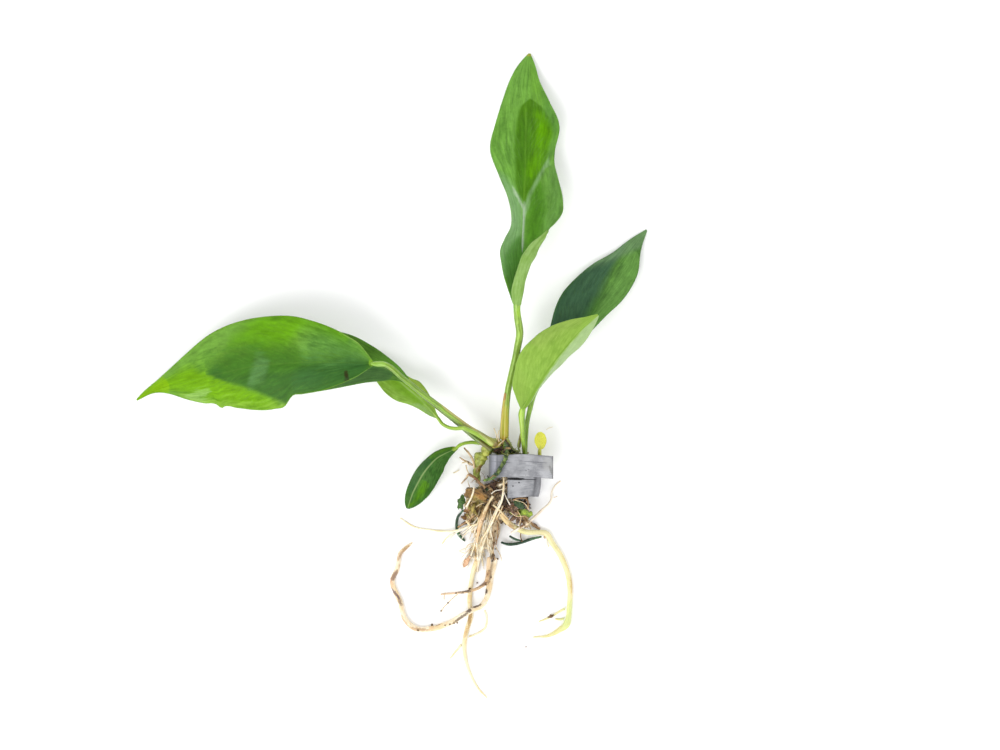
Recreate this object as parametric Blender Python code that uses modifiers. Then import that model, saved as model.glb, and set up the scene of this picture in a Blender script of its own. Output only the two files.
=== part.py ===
"""Anubias nangi: a bare-root water plant lying on a flat surface, its root neck held in a lead strip.

Lengths in the tables are millimetres, measured from the crown, the point on the surface below the place
where the leaf stalks meet. X runs to the right of the lying plant, Y along its tallest leaf, Z up.
"""

import math
from typing import NamedTuple

import bmesh
import bpy
import numpy as np
from mathutils import Vector

MM = 0.001

# Place of the crown in the world, so that the footprint of the whole plant is centred on the origin
CROWN_X = 38.0
CROWN_Y = -25.9

# Clearance left between pieces that touch
GAP = 0.3

# Leaf blades
BLADE_THICKNESS = 0.6
RIB_THICKNESS = 1.3
RIB_END = 0.85
RUN_STEP = 0.02

# Section of half a leaf blade: how its two inner control points take up the bulge and the fold
NEAR_BULGE = 0.7
NEAR_FOLD = 0.95
FAR_FOLD = 1.35
FAR_FOLD_LIFT = 0.35

# Lead strip, wound once and a half round the root neck
STRIP_WIDTH = 7.8
STRIP_THICKNESS = 1.2
STRIP_BEND_RADIUS = 2.1
STRIP_LEFT = -3.25
STRIP_RIGHT = 13.8
STRIP_UPPER_END = 18.4
STRIP_LOWER_END = 2.6
STRIP_FLOOR = 0.5 * STRIP_THICKNESS
STRIP_UPPER_TOP = 11.4
STRIP_LOWER_TOP = 10.0
STRIP_UPPER_Y = -5.4
STRIP_UPPER_END_Y = -5.8
STRIP_UPPER_BOW = 0.5
STRIP_LOWER_Y = -12.0
STRIP_LOWER_END_Y = -12.7
STRIP_CORNER = 0.9
STRIP_COLUMNS = 2
STRIP_BEND_STEPS = 5
STRIP_UPPER_STEPS = 3
STRIP_FLOOR_STEPS = 6
STRIP_LOWER_STEPS = 3
STRIP_SHARP_ANGLE = 40.0

# Round strands
THINNEST_STRAND = 0.1
MERGE_DISTANCE = 1e-6

# Roughness of the materials
LEAF_ROUGHNESS = 0.25
STALK_ROUGHNESS = 0.3
RHIZOME_ROUGHNESS = 0.45
ROOT_ROUGHNESS = 0.5
LEAD_ROUGHNESS = 0.5
SCRAP_ROUGHNESS = 0.6
CLUMP_ROUGHNESS = 0.8


class Edge(NamedTuple):
    """One side of a leaf at a share of its length: how far the margin lies from the midrib and above it.

    bulge lifts the middle of the half blade, and fold is how far it reaches beyond its own margin
    where it folds over.
    """

    at: float
    reach: float
    rise: float
    bulge: float = 0.0
    fold: float = 0.0


class Leaf(NamedTuple):
    """A leaf blade: its midrib from base to tip, both margins, and the grid it is made from."""

    name: str
    midrib: tuple
    left: tuple
    right: tuple
    rows: int
    columns: int
    colour: tuple
    ridge_up: bool = False


LEAF_BRIGHT = (0.12, 0.36, 0.02)
LEAF_DARK = (0.06, 0.20, 0.03)
LEAF_UNDERSIDE = (0.27, 0.49, 0.08)

LEAVES = (
    Leaf(
        "leaf_blade_large_left",
        (
            (-43.6, 30.1, 20.0), (-51.5, 30.4, 21.4), (-60.5, 30.6, 22.0), (-69.0, 30.4, 21.6),
            (-77.5, 30.0, 20.2), (-86.0, 29.0, 17.6), (-94.4, 27.3, 13.8), (-102.7, 25.3, 9.6),
            (-110.8, 23.4, 5.6), (-118.3, 21.4, 2.8), (-123.0, 19.7, 1.5), (-127.1, 17.5, 0.75),
        ),
        (
            Edge(0.0, 0.7, 0.0), Edge(0.03, 2.6, -0.2), Edge(0.06, 4.5, -0.6), Edge(0.1, 6.3, -1.0, 0.3),
            Edge(0.2, 9.7, -1.8, 0.6), Edge(0.28, 10.8, -2.3, 0.6), Edge(0.32, 11.3, -2.5, 0.6),
            Edge(0.35, 14.5, -3.4, 0.8), Edge(0.4, 15.4, -4.0, 1.0), Edge(0.5, 14.9, -4.4, 1.0),
            Edge(0.58, 13.0, -4.0, 0.9), Edge(0.64, 11.4, -3.4, 0.8), Edge(0.655, 11.7, -3.2, 0.7),
            Edge(0.67, 10.2, -3.0, 0.7), Edge(0.72, 8.7, -2.4, 0.5), Edge(0.8, 5.7, -1.4, 0.3),
            Edge(0.85, 3.1, -0.7), Edge(0.9, 1.1, -0.2), Edge(1.0, 0.3, 0.0),
        ),
        (
            Edge(0.0, 0.7, 0.0), Edge(0.03, 4.0, 0.2), Edge(0.06, 6.9, 0.2), Edge(0.1, 9.1, 0.0, 0.5),
            Edge(0.2, 13.3, -1.2, 1.0), Edge(0.3, 16.1, -2.4, 1.4), Edge(0.4, 16.7, -3.0, 1.5),
            Edge(0.5, 16.3, -3.2, 1.3), Edge(0.6, 14.9, -3.0, 1.0), Edge(0.7, 11.8, -1.8, 0.7),
            Edge(0.8, 7.5, -0.8, 0.3), Edge(0.9, 3.2, -0.2), Edge(1.0, 0.3, 0.0),
        ),
        18,
        8,
        LEAF_BRIGHT,
    ),
    Leaf(
        "leaf_blade_middle_left",
        (
            (-32.2, 24.0, 13.2), (-37.5, 27.5, 14.0), (-44.5, 30.0, 14.0), (-51.7, 31.4, 13.4),
            (-59.0, 32.2, 12.4), (-66.4, 32.4, 11.0), (-73.8, 32.0, 9.2), (-81.2, 31.3, 7.2),
            (-87.5, 30.1, 5.2), (-94.0, 28.6, 3.4), (-100.4, 26.9, 1.8),
        ),
        (
            Edge(0.0, 0.6, 0.0), Edge(0.05, 2.1, -0.2), Edge(0.1, 4.0, -0.4), Edge(0.2, 6.8, -0.8),
            Edge(0.4, 11.2, -1.6, 0.4), Edge(0.6, 12.6, -2.0, 0.5), Edge(0.8, 9.6, -1.4, 0.3),
            Edge(0.9, 6.0, -0.8), Edge(1.0, 0.4, 0.0),
        ),
        (
            Edge(0.0, 1.3, 0.0), Edge(0.05, 2.4, 0.0), Edge(0.1, 3.4, -0.2), Edge(0.2, 6.0, -0.6),
            Edge(0.3, 8.5, -1.2, 0.3), Edge(0.4, 9.6, -1.6, 0.5), Edge(0.6, 9.8, -2.0, 0.5),
            Edge(0.8, 6.6, -1.4, 0.3), Edge(0.9, 3.8, -0.8), Edge(1.0, 0.4, 0.0),
        ),
        12,
        6,
        LEAF_DARK,
    ),
    Leaf(
        "leaf_blade_lower_left",
        (
            (-21.7, 11.5, 8.6), (-23.8, 13.8, 8.9), (-26.4, 16.5, 8.8), (-29.1, 19.0, 8.3),
            (-31.9, 21.4, 7.5), (-34.6, 23.8, 6.5), (-37.3, 26.3, 5.3), (-40.2, 28.6, 4.0),
            (-43.2, 30.6, 2.9), (-46.2, 32.4, 1.9), (-49.2, 34.0, 1.2),
        ),
        (
            Edge(0.0, 0.5, 0.0), Edge(0.05, 1.5, 0.0), Edge(0.1, 2.1, 0.0), Edge(0.2, 3.0, -0.2),
            Edge(0.3, 4.2, -0.4), Edge(0.4, 5.8, -0.7), Edge(0.5, 6.4, -0.9), Edge(0.7, 5.4, -0.8),
            Edge(0.85, 3.6, -0.4), Edge(1.0, 0.3, 0.0),
        ),
        (
            Edge(0.0, 0.5, 0.0), Edge(0.05, 1.0, 0.0), Edge(0.1, 1.8, 0.0), Edge(0.2, 3.3, -0.2),
            Edge(0.3, 4.3, -0.4), Edge(0.36, 4.5, -0.5), Edge(0.43, 3.6, -0.7), Edge(0.5, 3.1, -0.9),
            Edge(0.7, 2.6, -0.8), Edge(0.85, 2.0, -0.4),
            Edge(1.0, 0.3, 0.0),
        ),
        10,
        6,
        LEAF_UNDERSIDE,
    ),
    Leaf(
        "leaf_blade_small_left",
        (
            (-14.8, 0.9, 8.2), (-17.0, -0.1, 8.9), (-19.7, -1.3, 9.2), (-22.2, -2.8, 9.2),
            (-24.3, -4.9, 8.7), (-26.2, -7.2, 7.6), (-27.8, -9.7, 6.0), (-29.2, -12.3, 4.2),
            (-30.5, -14.9, 2.9), (-31.5, -17.7, 1.8), (-32.3, -20.5, 1.15),
        ),
        (
            Edge(0.0, 0.5, 0.0), Edge(0.05, 1.0, -0.3), Edge(0.1, 1.7, -0.8), Edge(0.2, 3.5, -1.8, 0.3),
            Edge(0.3, 4.8, -2.6, 0.5), Edge(0.4, 5.5, -2.8, 0.6), Edge(0.6, 5.9, -2.2, 0.5),
            Edge(0.8, 5.0, -1.0, 0.2), Edge(0.9, 3.7, -0.4), Edge(0.97, 1.8, 0.0), Edge(1.0, 0.5, 0.0),
        ),
        (
            Edge(0.0, 0.5, 0.0), Edge(0.05, 1.2, -0.5), Edge(0.1, 1.6, -1.2), Edge(0.2, 2.1, -2.2, 0.5),
            Edge(0.3, 2.3, -3.0, 0.7), Edge(0.4, 2.6, -3.2, 0.8), Edge(0.6, 2.8, -2.6, 0.6),
            Edge(0.8, 2.4, -1.4, 0.3), Edge(0.9, 1.9, -0.6), Edge(0.97, 1.1, 0.0), Edge(1.0, 0.5, 0.0),
        ),
        12,
        6,
        LEAF_DARK,
    ),
    Leaf(
        "leaf_blade_tall",
        (
            (5.6, 50.8, 16.2), (6.2, 54.0, 16.8), (6.9, 58.8, 17.0), (7.4, 63.2, 16.9), (7.8, 67.7, 16.5),
            (8.2, 76.5, 15.4), (8.3, 85.4, 14.4), (8.6, 94.3, 13.2), (8.8, 103.1, 11.4), (9.0, 112.0, 9.2),
            (9.0, 120.9, 6.6), (9.5, 129.7, 3.8), (9.9, 134.2, 2.2), (10.3, 138.7, 0.85),
        ),
        (
            Edge(0.0, 1.3, 0.0), Edge(0.03, 2.8, 0.4), Edge(0.06, 4.1, 0.8), Edge(0.1, 5.7, 0.8),
            Edge(0.15, 7.1, 0.4, 0.3), Edge(0.2, 7.9, -0.8, 0.9), Edge(0.25, 6.6, -3.2, 1.6),
            Edge(0.3, 4.6, -5.6, 1.9), Edge(0.35, 4.4, -6.4, 2.0), Edge(0.4, 5.3, -6.0, 1.9),
            Edge(0.5, 9.1, -3.2, 1.3), Edge(0.6, 12.3, 0.2, 0.5), Edge(0.7, 10.8, 0.0, 0.3),
            Edge(0.8, 8.2, -1.2, 0.4), Edge(0.9, 5.5, -1.0, 0.2), Edge(0.95, 3.5, -0.6),
            Edge(1.0, 0.4, 0.0),
        ),
        (
            Edge(0.0, -1.1, 1.2, 0.4, 1.6), Edge(0.05, -2.4, 2.4, 0.7, 2.8), Edge(0.09, -2.1, 2.9, 0.8, 2.7),
            Edge(0.13, -1.4, 3.1, 0.8, 3.0), Edge(0.17, -0.5, 3.1, 0.8, 3.3), Edge(0.21, 1.2, 3.0, 0.6, 4.5),
            Edge(0.235, 2.8, 2.8, 0.4, 4.8), Edge(0.26, 5.6, 2.4, 0.2, 4.2), Edge(0.29, 8.6, 1.6, 0.1, 2.4),
            Edge(0.32, 11.2, 0.4, 0.3, 0.8), Edge(0.35, 13.2, -1.6, 0.8), Edge(0.4, 13.6, -3.0, 1.2),
            Edge(0.5, 11.5, -4.6, 1.5), Edge(0.55, 10.3, -5.4, 1.6), Edge(0.6, 10.3, -4.8, 1.5),
            Edge(0.7, 11.7, -1.4, 0.8), Edge(0.8, 8.3, -0.4, 0.4), Edge(0.9, 4.0, -0.4, 0.1),
            Edge(0.95, 2.5, -0.4), Edge(1.0, 0.4, 0.0),
        ),
        24,
        10,
        LEAF_BRIGHT,
    ),
    Leaf(
        "leaf_blade_far_right",
        (
            (12.4, 20.9, 11.0), (15.7, 25.7, 11.6), (20.0, 31.2, 11.6), (24.2, 36.7, 11.0), (28.1, 42.5, 10.0),
            (31.6, 48.5, 8.7), (35.0, 54.5, 7.1), (38.7, 60.4, 5.3), (42.6, 66.2, 3.6), (46.8, 71.7, 2.0),
            (51.3, 77.0, 0.8),
        ),
        (
            Edge(0.0, 0.6, 0.0), Edge(0.05, 1.8, -0.2), Edge(0.1, 3.1, -0.6), Edge(0.2, 6.1, -1.4, 0.2),
            Edge(0.3, 9.1, -2.2, 0.4), Edge(0.4, 11.2, -3.0, 0.6), Edge(0.5, 11.7, -3.4, 0.7),
            Edge(0.6, 10.1, -3.0, 0.6), Edge(0.7, 7.8, -2.2, 0.4), Edge(0.8, 4.4, -1.2, 0.2),
            Edge(0.9, 2.5, -0.4), Edge(1.0, 0.3, 0.0),
        ),
        (
            Edge(0.0, 0.5, 0.0), Edge(0.1, 0.6, -1.2, 0.2), Edge(0.2, 1.2, -2.2, 0.5),
            Edge(0.3, 2.3, -2.6, 0.6), Edge(0.4, 3.7, -1.8, 0.4), Edge(0.5, 5.4, -0.4, 0.1),
            Edge(0.6, 7.4, 0.8), Edge(0.7, 7.9, 0.8, -0.2),
            Edge(0.8, 6.8, 0.5, -0.2), Edge(0.9, 3.1, 0.2), Edge(1.0, 0.3, 0.0),
        ),
        14,
        6,
        LEAF_DARK,
    ),
    Leaf(
        "leaf_blade_near_right",
        (
            (7.8, 14.6, 13.8), (9.8, 17.8, 14.8), (11.8, 21.4, 16.0), (14.2, 24.9, 17.2), (16.7, 28.4, 18.2),
            (19.3, 31.7, 18.9), (22.0, 35.0, 19.2), (24.7, 38.3, 19.0), (27.5, 41.4, 18.6), (30.7, 44.3, 18.2),
            (33.8, 46.9, 17.8),
        ),
        (
            Edge(0.0, 0.9, 0.0), Edge(0.03, 2.8, 0.3), Edge(0.06, 4.4, 0.6), Edge(0.1, 6.2, 0.8),
            Edge(0.2, 8.5, 0.6, 0.4), Edge(0.3, 10.3, -0.2, 0.8), Edge(0.4, 11.0, -1.2, 1.2),
            Edge(0.5, 10.5, -1.8, 1.4), Edge(0.6, 9.7, -2.0, 1.2), Edge(0.7, 7.9, -1.6, 0.9),
            Edge(0.8, 5.2, -0.8, 0.5), Edge(0.9, 2.4, -0.2, 0.2), Edge(1.0, 0.4, 0.0),
        ),
        (
            Edge(0.0, 0.7, 0.0), Edge(0.05, 0.8, -0.8), Edge(0.1, 0.8, -2.0, 0.3), Edge(0.2, 1.0, -3.4, 0.6),
            Edge(0.3, 1.3, -4.4, 0.9), Edge(0.4, 1.7, -5.0, 1.1), Edge(0.5, 2.3, -5.2, 1.2),
            Edge(0.6, 2.6, -4.8, 1.1), Edge(0.7, 3.4, -3.8, 0.8), Edge(0.8, 3.3, -2.4, 0.5),
            Edge(0.9, 2.2, -0.9, 0.2), Edge(1.0, 0.4, 0.0),
        ),
        14,
        6,
        LEAF_UNDERSIDE,
        True,
    ),
    Leaf(
        "leaf_blade_yellow",
        ((14.1, 0.5, 9.2), (14.1, 2.4, 9.7), (14.0, 4.4, 9.9), (13.8, 6.5, 9.8)),
        (
            Edge(0.0, 0.7, 0.0), Edge(0.07, 1.1, 0.1), Edge(0.25, 1.7, 0.2), Edge(0.5, 2.1, 0.2),
            Edge(0.7, 1.9, 0.2), Edge(0.9, 1.2, 0.1), Edge(1.0, 0.4, 0.0),
        ),
        (
            Edge(0.0, 0.7, 0.0), Edge(0.07, 1.1, 0.1), Edge(0.25, 1.7, 0.2), Edge(0.5, 2.1, 0.2),
            Edge(0.7, 1.9, 0.2), Edge(0.9, 1.3, 0.1), Edge(1.0, 0.5, 0.0),
        ),
        6,
        4,
        (0.70, 0.72, 0.05),
    ),
)


class Strand(NamedTuple):
    """A stalk, root or other round strand: points of its middle line with the radius at each."""

    name: str
    route: tuple
    colour: tuple
    sides: int = 6
    per_span: int = 2


STALK_GREEN = (0.33, 0.58, 0.05)
STALK_OLIVE = (0.36, 0.42, 0.03)
SHEATH_TAN = (0.50, 0.36, 0.14)
RHIZOME_GREEN = (0.40, 0.44, 0.07)

STALKS = (
    Strand(
        "leaf_stalk_large_left",
        (
            (-42.9, 30.1, 19.6, 0.85), (-39.6, 29.9, 20.0, 0.9), (-37.4, 28.7, 20.0, 0.95),
            (-34.1, 25.7, 19.4, 0.95), (-30.5, 22.8, 18.2, 0.95), (-26.0, 19.2, 16.6, 1.0),
            (-20.1, 14.8, 14.0, 1.0), (-14.2, 10.3, 11.7, 1.0), (-10.4, 7.6, 10.4, 1.0),
            (-7.4, 5.8, 9.6, 1.05), (-4.1, 3.7, 8.9, 1.2), (-1.0, 1.9, 7.8, 1.4),
        ),
        STALK_OLIVE,
        6,
        1,
    ),
    Strand(
        "leaf_stalk_middle_left",
        (
            (-31.7, 23.5, 12.8, 0.75), (-27.0, 19.4, 12.1, 0.8), (-23.6, 16.6, 11.4, 0.85),
            (-18.4, 12.5, 9.8, 0.85), (-14.2, 9.1, 8.8, 0.85), (-9.2, 4.9, 8.2, 0.9),
            (-5.6, 2.2, 8.0, 0.9), (-2.5, -0.1, 7.5, 0.85),
        ),
        STALK_GREEN,
    ),
    Strand(
        "leaf_stalk_lower_left",
        (
            (-21.3, 10.9, 8.2, 0.6), (-20.2, 9.4, 8.4, 0.6), (-18.1, 8.2, 9.4, 0.65),
            (-15.3, 7.7, 12.0, 0.65), (-12.6, 7.8, 13.6, 0.7), (-9.6, 6.6, 13.1, 0.75),
            (-6.1, 4.6, 12.0, 0.8), (-3.2, 2.4, 10.7, 0.85), (-2.5, 1.8, 10.4, 0.8),
        ),
        STALK_GREEN,
        6,
        1,
    ),
    Strand(
        "leaf_stalk_small_left",
        ((-14.4, 1.6, 7.9, 0.6), (-13.0, 2.3, 7.4, 0.6), (-9.8, 2.8, 6.0, 0.65), (-6.6, 2.4, 5.4, 0.7)),
        STALK_GREEN,
    ),
    Strand(
        "leaf_stalk_tall",
        (
            (5.6, 50.1, 15.6, 1.25), (6.2, 45.6, 15.5, 1.3), (6.8, 41.0, 15.0, 1.3), (6.1, 36.0, 14.4, 1.25),
            (4.4, 28.0, 13.2, 1.2), (2.7, 20.4, 12.0, 1.15), (2.1, 13.4, 10.4, 1.15), (1.9, 6.4, 8.4, 1.2),
            (1.8, 2.0, 6.6, 1.2),
        ),
        STALK_GREEN,
        8,
        1,
    ),
    Strand(
        "leaf_stalk_near_right",
        (
            (7.7, 13.9, 13.2, 1.1), (7.8, 8.0, 11.0, 0.95), (8.1, 3.4, 8.8, 0.8), (8.5, -0.4, 7.2, 0.75),
            (8.7, -2.2, 6.4, 0.7),
        ),
        STALK_GREEN,
    ),
    Strand(
        "leaf_stalk_far_right",
        (
            (12.1, 20.2, 10.6, 0.9), (10.4, 14.4, 9.2, 0.85), (9.4, 9.4, 7.3, 0.8), (9.1, 5.2, 5.9, 0.75),
            (8.9, 1.2, 4.9, 0.7), (8.9, -2.0, 4.3, 0.65),
        ),
        STALK_GREEN,
        6,
        1,
    ),
    Strand(
        "leaf_stalk_yellow",
        ((13.8, 0.0, 8.8, 0.6), (13.8, -1.4, 7.8, 0.65), (13.9, -3.6, 5.8, 0.6)),
        (0.62, 0.66, 0.06),
    ),
)

SHEATHS = (
    Strand(
        "sheath_of_tall_leaf",
        (
            (1.5, 20.0, 13.2, 0.2), (0.7, 15.4, 11.6, 0.3), (0.2, 10.4, 9.9, 0.35), (-0.1, 4.6, 7.9, 0.4),
            (-0.1, 3.8, 7.6, 0.4),
        ),
        SHEATH_TAN,
        6,
        1,
    ),
    Strand(
        "sheath_of_right_leaves",
        ((7.2, 6.0, 8.6, 0.2), (6.8, 3.0, 7.4, 0.45), (6.5, 0.9, 6.8, 0.5)),
        SHEATH_TAN,
    ),
)

RHIZOME = Strand(
    "rhizome",
    (
        (-6.6, 0.7, 5.0, 1.9), (-5.2, 0.5, 5.2, 2.6), (-3.8, 1.3, 5.3, 2.3), (-1.8, 1.5, 5.3, 2.4),
        (0.4, 0.4, 5.3, 2.4), (2.4, -0.7, 5.3, 2.6), (4.8, -2.1, 5.3, 2.3), (7.2, -3.6, 5.2, 2.3),
        (9.6, -4.4, 5.2, 2.1), (12.0, -4.8, 5.1, 2.2), (14.2, -4.8, 5.0, 1.8), (15.8, -4.8, 5.0, 1.2),
    ),
    RHIZOME_GREEN,
    10,
    1,
)

SIDE_SHOOT = Strand(
    "rhizome_side_shoot",
    (
        (-6.5, -0.6, 4.7, 1.5), (-6.7, -1.8, 4.6, 1.75), (-6.9, -3.1, 4.5, 1.45), (-7.5, -4.9, 4.3, 1.0),
        (-8.0, -6.9, 4.1, 0.85), (-7.9, -9.2, 4.0, 0.75), (-7.3, -11.1, 4.0, 0.6),
    ),
    RHIZOME_GREEN,
    8,
    1,
)

ROOT_IVORY = (0.86, 0.74, 0.46)
ROOT_TAN = (0.62, 0.46, 0.24)
ROOT_BROWN = (0.26, 0.16, 0.09)
ROOT_ORANGE = (0.72, 0.40, 0.18)
ROOT_YELLOW_GREEN = (0.72, 0.72, 0.22)
STRAND_GREEN = (0.03, 0.10, 0.04)

ROOTS = (
    Strand(
        "hook_root",
        (
            (-1.9, -37.4, 1.8, 0.95), (-2.2, -40.0, 1.4, 1.0), (-2.9, -43.0, 1.2, 1.0), (-3.9, -48.2, 1.2, 1.0),
            (-4.9, -52.2, 1.7, 0.95), (-6.5, -54.3, 2.5, 0.95), (-9.5, -55.7, 3.1, 0.95),
            (-12.6, -57.4, 2.8, 0.95), (-16.8, -60.0, 1.5, 0.95), (-20.8, -61.7, 1.0, 0.95),
            (-24.9, -62.6, 1.0, 0.95), (-28.5, -62.6, 1.0, 0.95), (-31.6, -61.1, 1.0, 0.95),
            (-33.7, -58.0, 1.0, 0.9), (-34.7, -53.6, 1.0, 0.85), (-36.2, -50.3, 1.0, 0.85),
            (-37.5, -47.2, 1.0, 0.85), (-37.5, -44.9, 1.0, 0.85), (-36.2, -42.1, 1.0, 0.85),
            (-35.5, -39.0, 1.0, 0.8), (-35.0, -36.4, 0.9, 0.75), (-33.2, -34.4, 0.8, 0.65),
            (-30.6, -32.3, 0.6, 0.3),
        ),
        ROOT_TAN,
        6,
        1,
    ),
    Strand(
        "centre_root",
        (
            (-7.8, -37.4, 1.6, 0.85), (-8.3, -39.4, 1.3, 0.85), (-9.1, -41.6, 1.0, 0.85),
            (-10.1, -46.6, 0.9, 0.8), (-10.6, -53.4, 0.85, 0.8), (-10.3, -58.5, 0.85, 0.8),
            (-11.5, -62.6, 0.85, 0.8), (-12.4, -66.8, 0.8, 0.75), (-11.9, -73.8, 0.65, 0.6),
            (-10.1, -79.0, 0.5, 0.45), (-7.5, -83.6, 0.4, 0.35), (-4.4, -86.9, 0.3, 0.2),
        ),
        ROOT_IVORY,
    ),
    Strand(
        "centre_root_branch",
        ((-13.5, -68.0, 0.5, 0.4), (-15.2, -70.1, 0.4, 0.35), (-17.5, -73.0, 0.3, 0.2)),
        ROOT_IVORY,
    ),
    Strand(
        "loop_rootlet",
        (
            (-5.4, -55.9, 0.7, 0.35), (-4.7, -58.4, 0.45, 0.4), (-5.1, -62.1, 0.45, 0.4),
            (-7.5, -64.0, 0.45, 0.4), (-10.9, -65.4, 0.45, 0.3),
        ),
        ROOT_IVORY,
    ),
    Strand(
        "brown_root",
        (
            (-3.9, -37.2, 3.6, 0.7), (-4.0, -40.2, 3.5, 0.75), (-4.2, -43.0, 3.5, 0.7),
            (-4.9, -46.0, 3.4, 0.65), (-7.5, -48.1, 3.2, 0.55), (-11.6, -49.4, 2.6, 0.5),
            (-15.7, -50.0, 1.2, 0.4), (-20.9, -50.5, 0.4, 0.25),
        ),
        ROOT_BROWN,
    ),
    Strand(
        "right_root",
        (
            (0.0, -21.2, 9.0, 0.95), (2.3, -24.6, 7.4, 0.95), (6.1, -27.3, 4.8, 0.95), (9.2, -28.6, 2.9, 0.9),
            (13.5, -28.7, 1.4, 0.85), (16.1, -29.2, 1.1, 1.0), (18.2, -32.3, 1.1, 0.95), (20.6, -36.0, 1.0, 0.95),
            (22.7, -40.5, 1.0, 0.95), (24.1, -45.1, 1.0, 0.9), (24.5, -49.3, 1.0, 0.9),
            (24.3, -54.4, 1.0, 0.9), (24.0, -58.2, 1.1, 0.95), (23.4, -60.8, 1.3, 1.25),
            (20.7, -63.0, 1.0, 0.95), (17.1, -64.9, 0.6, 0.55), (11.5, -65.5, 0.3, 0.2),
        ),
        ROOT_YELLOW_GREEN,
    ),
    Strand(
        "right_root_upper_branch",
        ((22.8, -55.4, 0.8, 0.4), (20.6, -56.6, 0.5, 0.35), (18.2, -58.1, 0.5, 0.4), (13.5, -60.1, 0.3, 0.2)),
        ROOT_YELLOW_GREEN,
    ),
    Strand(
        "right_root_lower_branch",
        ((22.5, -58.9, 0.7, 0.35), (21.2, -59.3, 0.45, 0.35), (19.2, -59.1, 0.3, 0.2)),
        ROOT_YELLOW_GREEN,
    ),
    Strand(
        "root_over_weight",
        (
            (1.3, -9.0, 9.9, 0.4), (1.3, -12.4, 10.1, 0.5), (0.6, -17.2, 10.4, 0.5), (-1.2, -21.4, 9.9, 0.5),
            (-2.8, -25.1, 8.4, 0.5), (-5.2, -29.2, 6.4, 0.45), (-6.6, -31.2, 5.6, 0.35),
        ),
        ROOT_IVORY,
    ),
    Strand(
        "short_root_left",
        ((-8.9, -12.6, 8.0, 0.4), (-10.1, -16.2, 8.6, 0.4), (-11.6, -20.4, 8.2, 0.25)),
        ROOT_IVORY,
    ),
    Strand(
        "root_upper_right",
        (
            (3.7, -28.9, 6.2, 0.45), (9.4, -25.4, 6.5, 0.45), (14.5, -21.0, 3.0, 0.45), (17.8, -17.6, 1.3, 0.4),
            (18.2, -14.4, 0.8, 0.35), (19.6, -12.2, 0.5, 0.3), (21.3, -10.8, 0.35, 0.2),
        ),
        ROOT_TAN,
    ),
    Strand(
        "root_upper_right_fork",
        ((18.8, -16.8, 0.9, 0.25), (20.2, -16.2, 0.5, 0.2)),
        ROOT_TAN,
    ),
    Strand(
        "long_thin_root_left",
        (
            (-8.6, -25.2, 5.8, 0.4), (-12.6, -27.2, 3.2, 0.4), (-15.4, -28.2, 1.9, 0.4),
            (-19.9, -28.4, 0.6, 0.35), (-24.8, -27.9, 0.4, 0.3), (-29.7, -27.0, 0.35, 0.28),
            (-35.1, -23.8, 0.35, 0.3),
        ),
        ROOT_IVORY,
    ),
    Strand(
        "long_thin_root_left_fork",
        ((-16.2, -29.1, 1.3, 0.25), (-18.5, -30.6, 0.6, 0.25), (-20.4, -33.0, 0.3, 0.2)),
        ROOT_IVORY,
    ),
    Strand(
        "orange_root",
        (
            (-4.2, -18.8, 8.9, 0.7), (-5.7, -22.4, 8.0, 0.85), (-6.9, -26.0, 6.9, 0.85),
            (-7.7, -29.9, 5.8, 0.6), (-8.0, -32.4, 4.4, 0.4),
        ),
        ROOT_ORANGE,
    ),
    Strand(
        "side_root_top",
        ((-8.9, -6.3, 5.6, 0.35), (-9.4, -3.6, 4.6, 0.4), (-10.7, -1.3, 3.8, 0.35), (-12.6, 0.9, 3.0, 0.25)),
        ROOT_BROWN,
    ),
    Strand(
        "side_root_middle",
        ((-9.5, -5.3, 3.2, 0.4), (-11.2, -4.1, 2.4, 0.35), (-12.6, -3.6, 1.5, 0.3), (-14.2, -2.5, 0.9, 0.2)),
        ROOT_BROWN,
    ),
    Strand(
        "side_root_bottom",
        ((-9.9, -9.2, 3.8, 0.35), (-11.0, -8.6, 2.8, 0.35), (-11.9, -9.9, 1.4, 0.3), (-13.6, -11.8, 0.5, 0.2)),
        ROOT_BROWN,
    ),
    Strand(
        "green_strand_left",
        (
            (-12.8, -20.8, 6.6, 0.3), (-14.8, -23.7, 2.6, 0.5), (-15.2, -26.2, 0.9, 0.5),
            (-14.2, -29.8, 0.5, 0.5), (-12.2, -31.9, 0.5, 0.3),
        ),
        STRAND_GREEN,
    ),
    Strand(
        "green_strand_arc",
        (
            (0.3, -32.2, 1.6, 0.4), (3.0, -33.0, 1.0, 0.5), (7.0, -32.5, 0.9, 0.5), (11.0, -31.1, 1.0, 0.5),
            (14.5, -30.2, 3.0, 0.35),
        ),
        STRAND_GREEN,
    ),
    Strand(
        "green_strand_short",
        ((3.2, -29.9, 3.6, 0.4), (5.1, -31.0, 2.9, 0.4), (8.0, -31.8, 2.3, 0.3)),
        STRAND_GREEN,
    ),
    Strand(
        "green_strand_over_weight",
        (
            (1.5, 3.2, 10.2, 0.35), (2.1, 1.0, 12.0, 0.5), (2.2, -1.6, 12.9, 0.55), (1.6, -3.5, 12.9, 0.55),
            (0.3, -5.6, 12.9, 0.55), (-0.8, -7.7, 12.8, 0.5), (-2.8, -9.4, 12.4, 0.45), (-5.9, -10.4, 10.2, 0.3),
        ),
        STRAND_GREEN,
    ),
)

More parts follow.
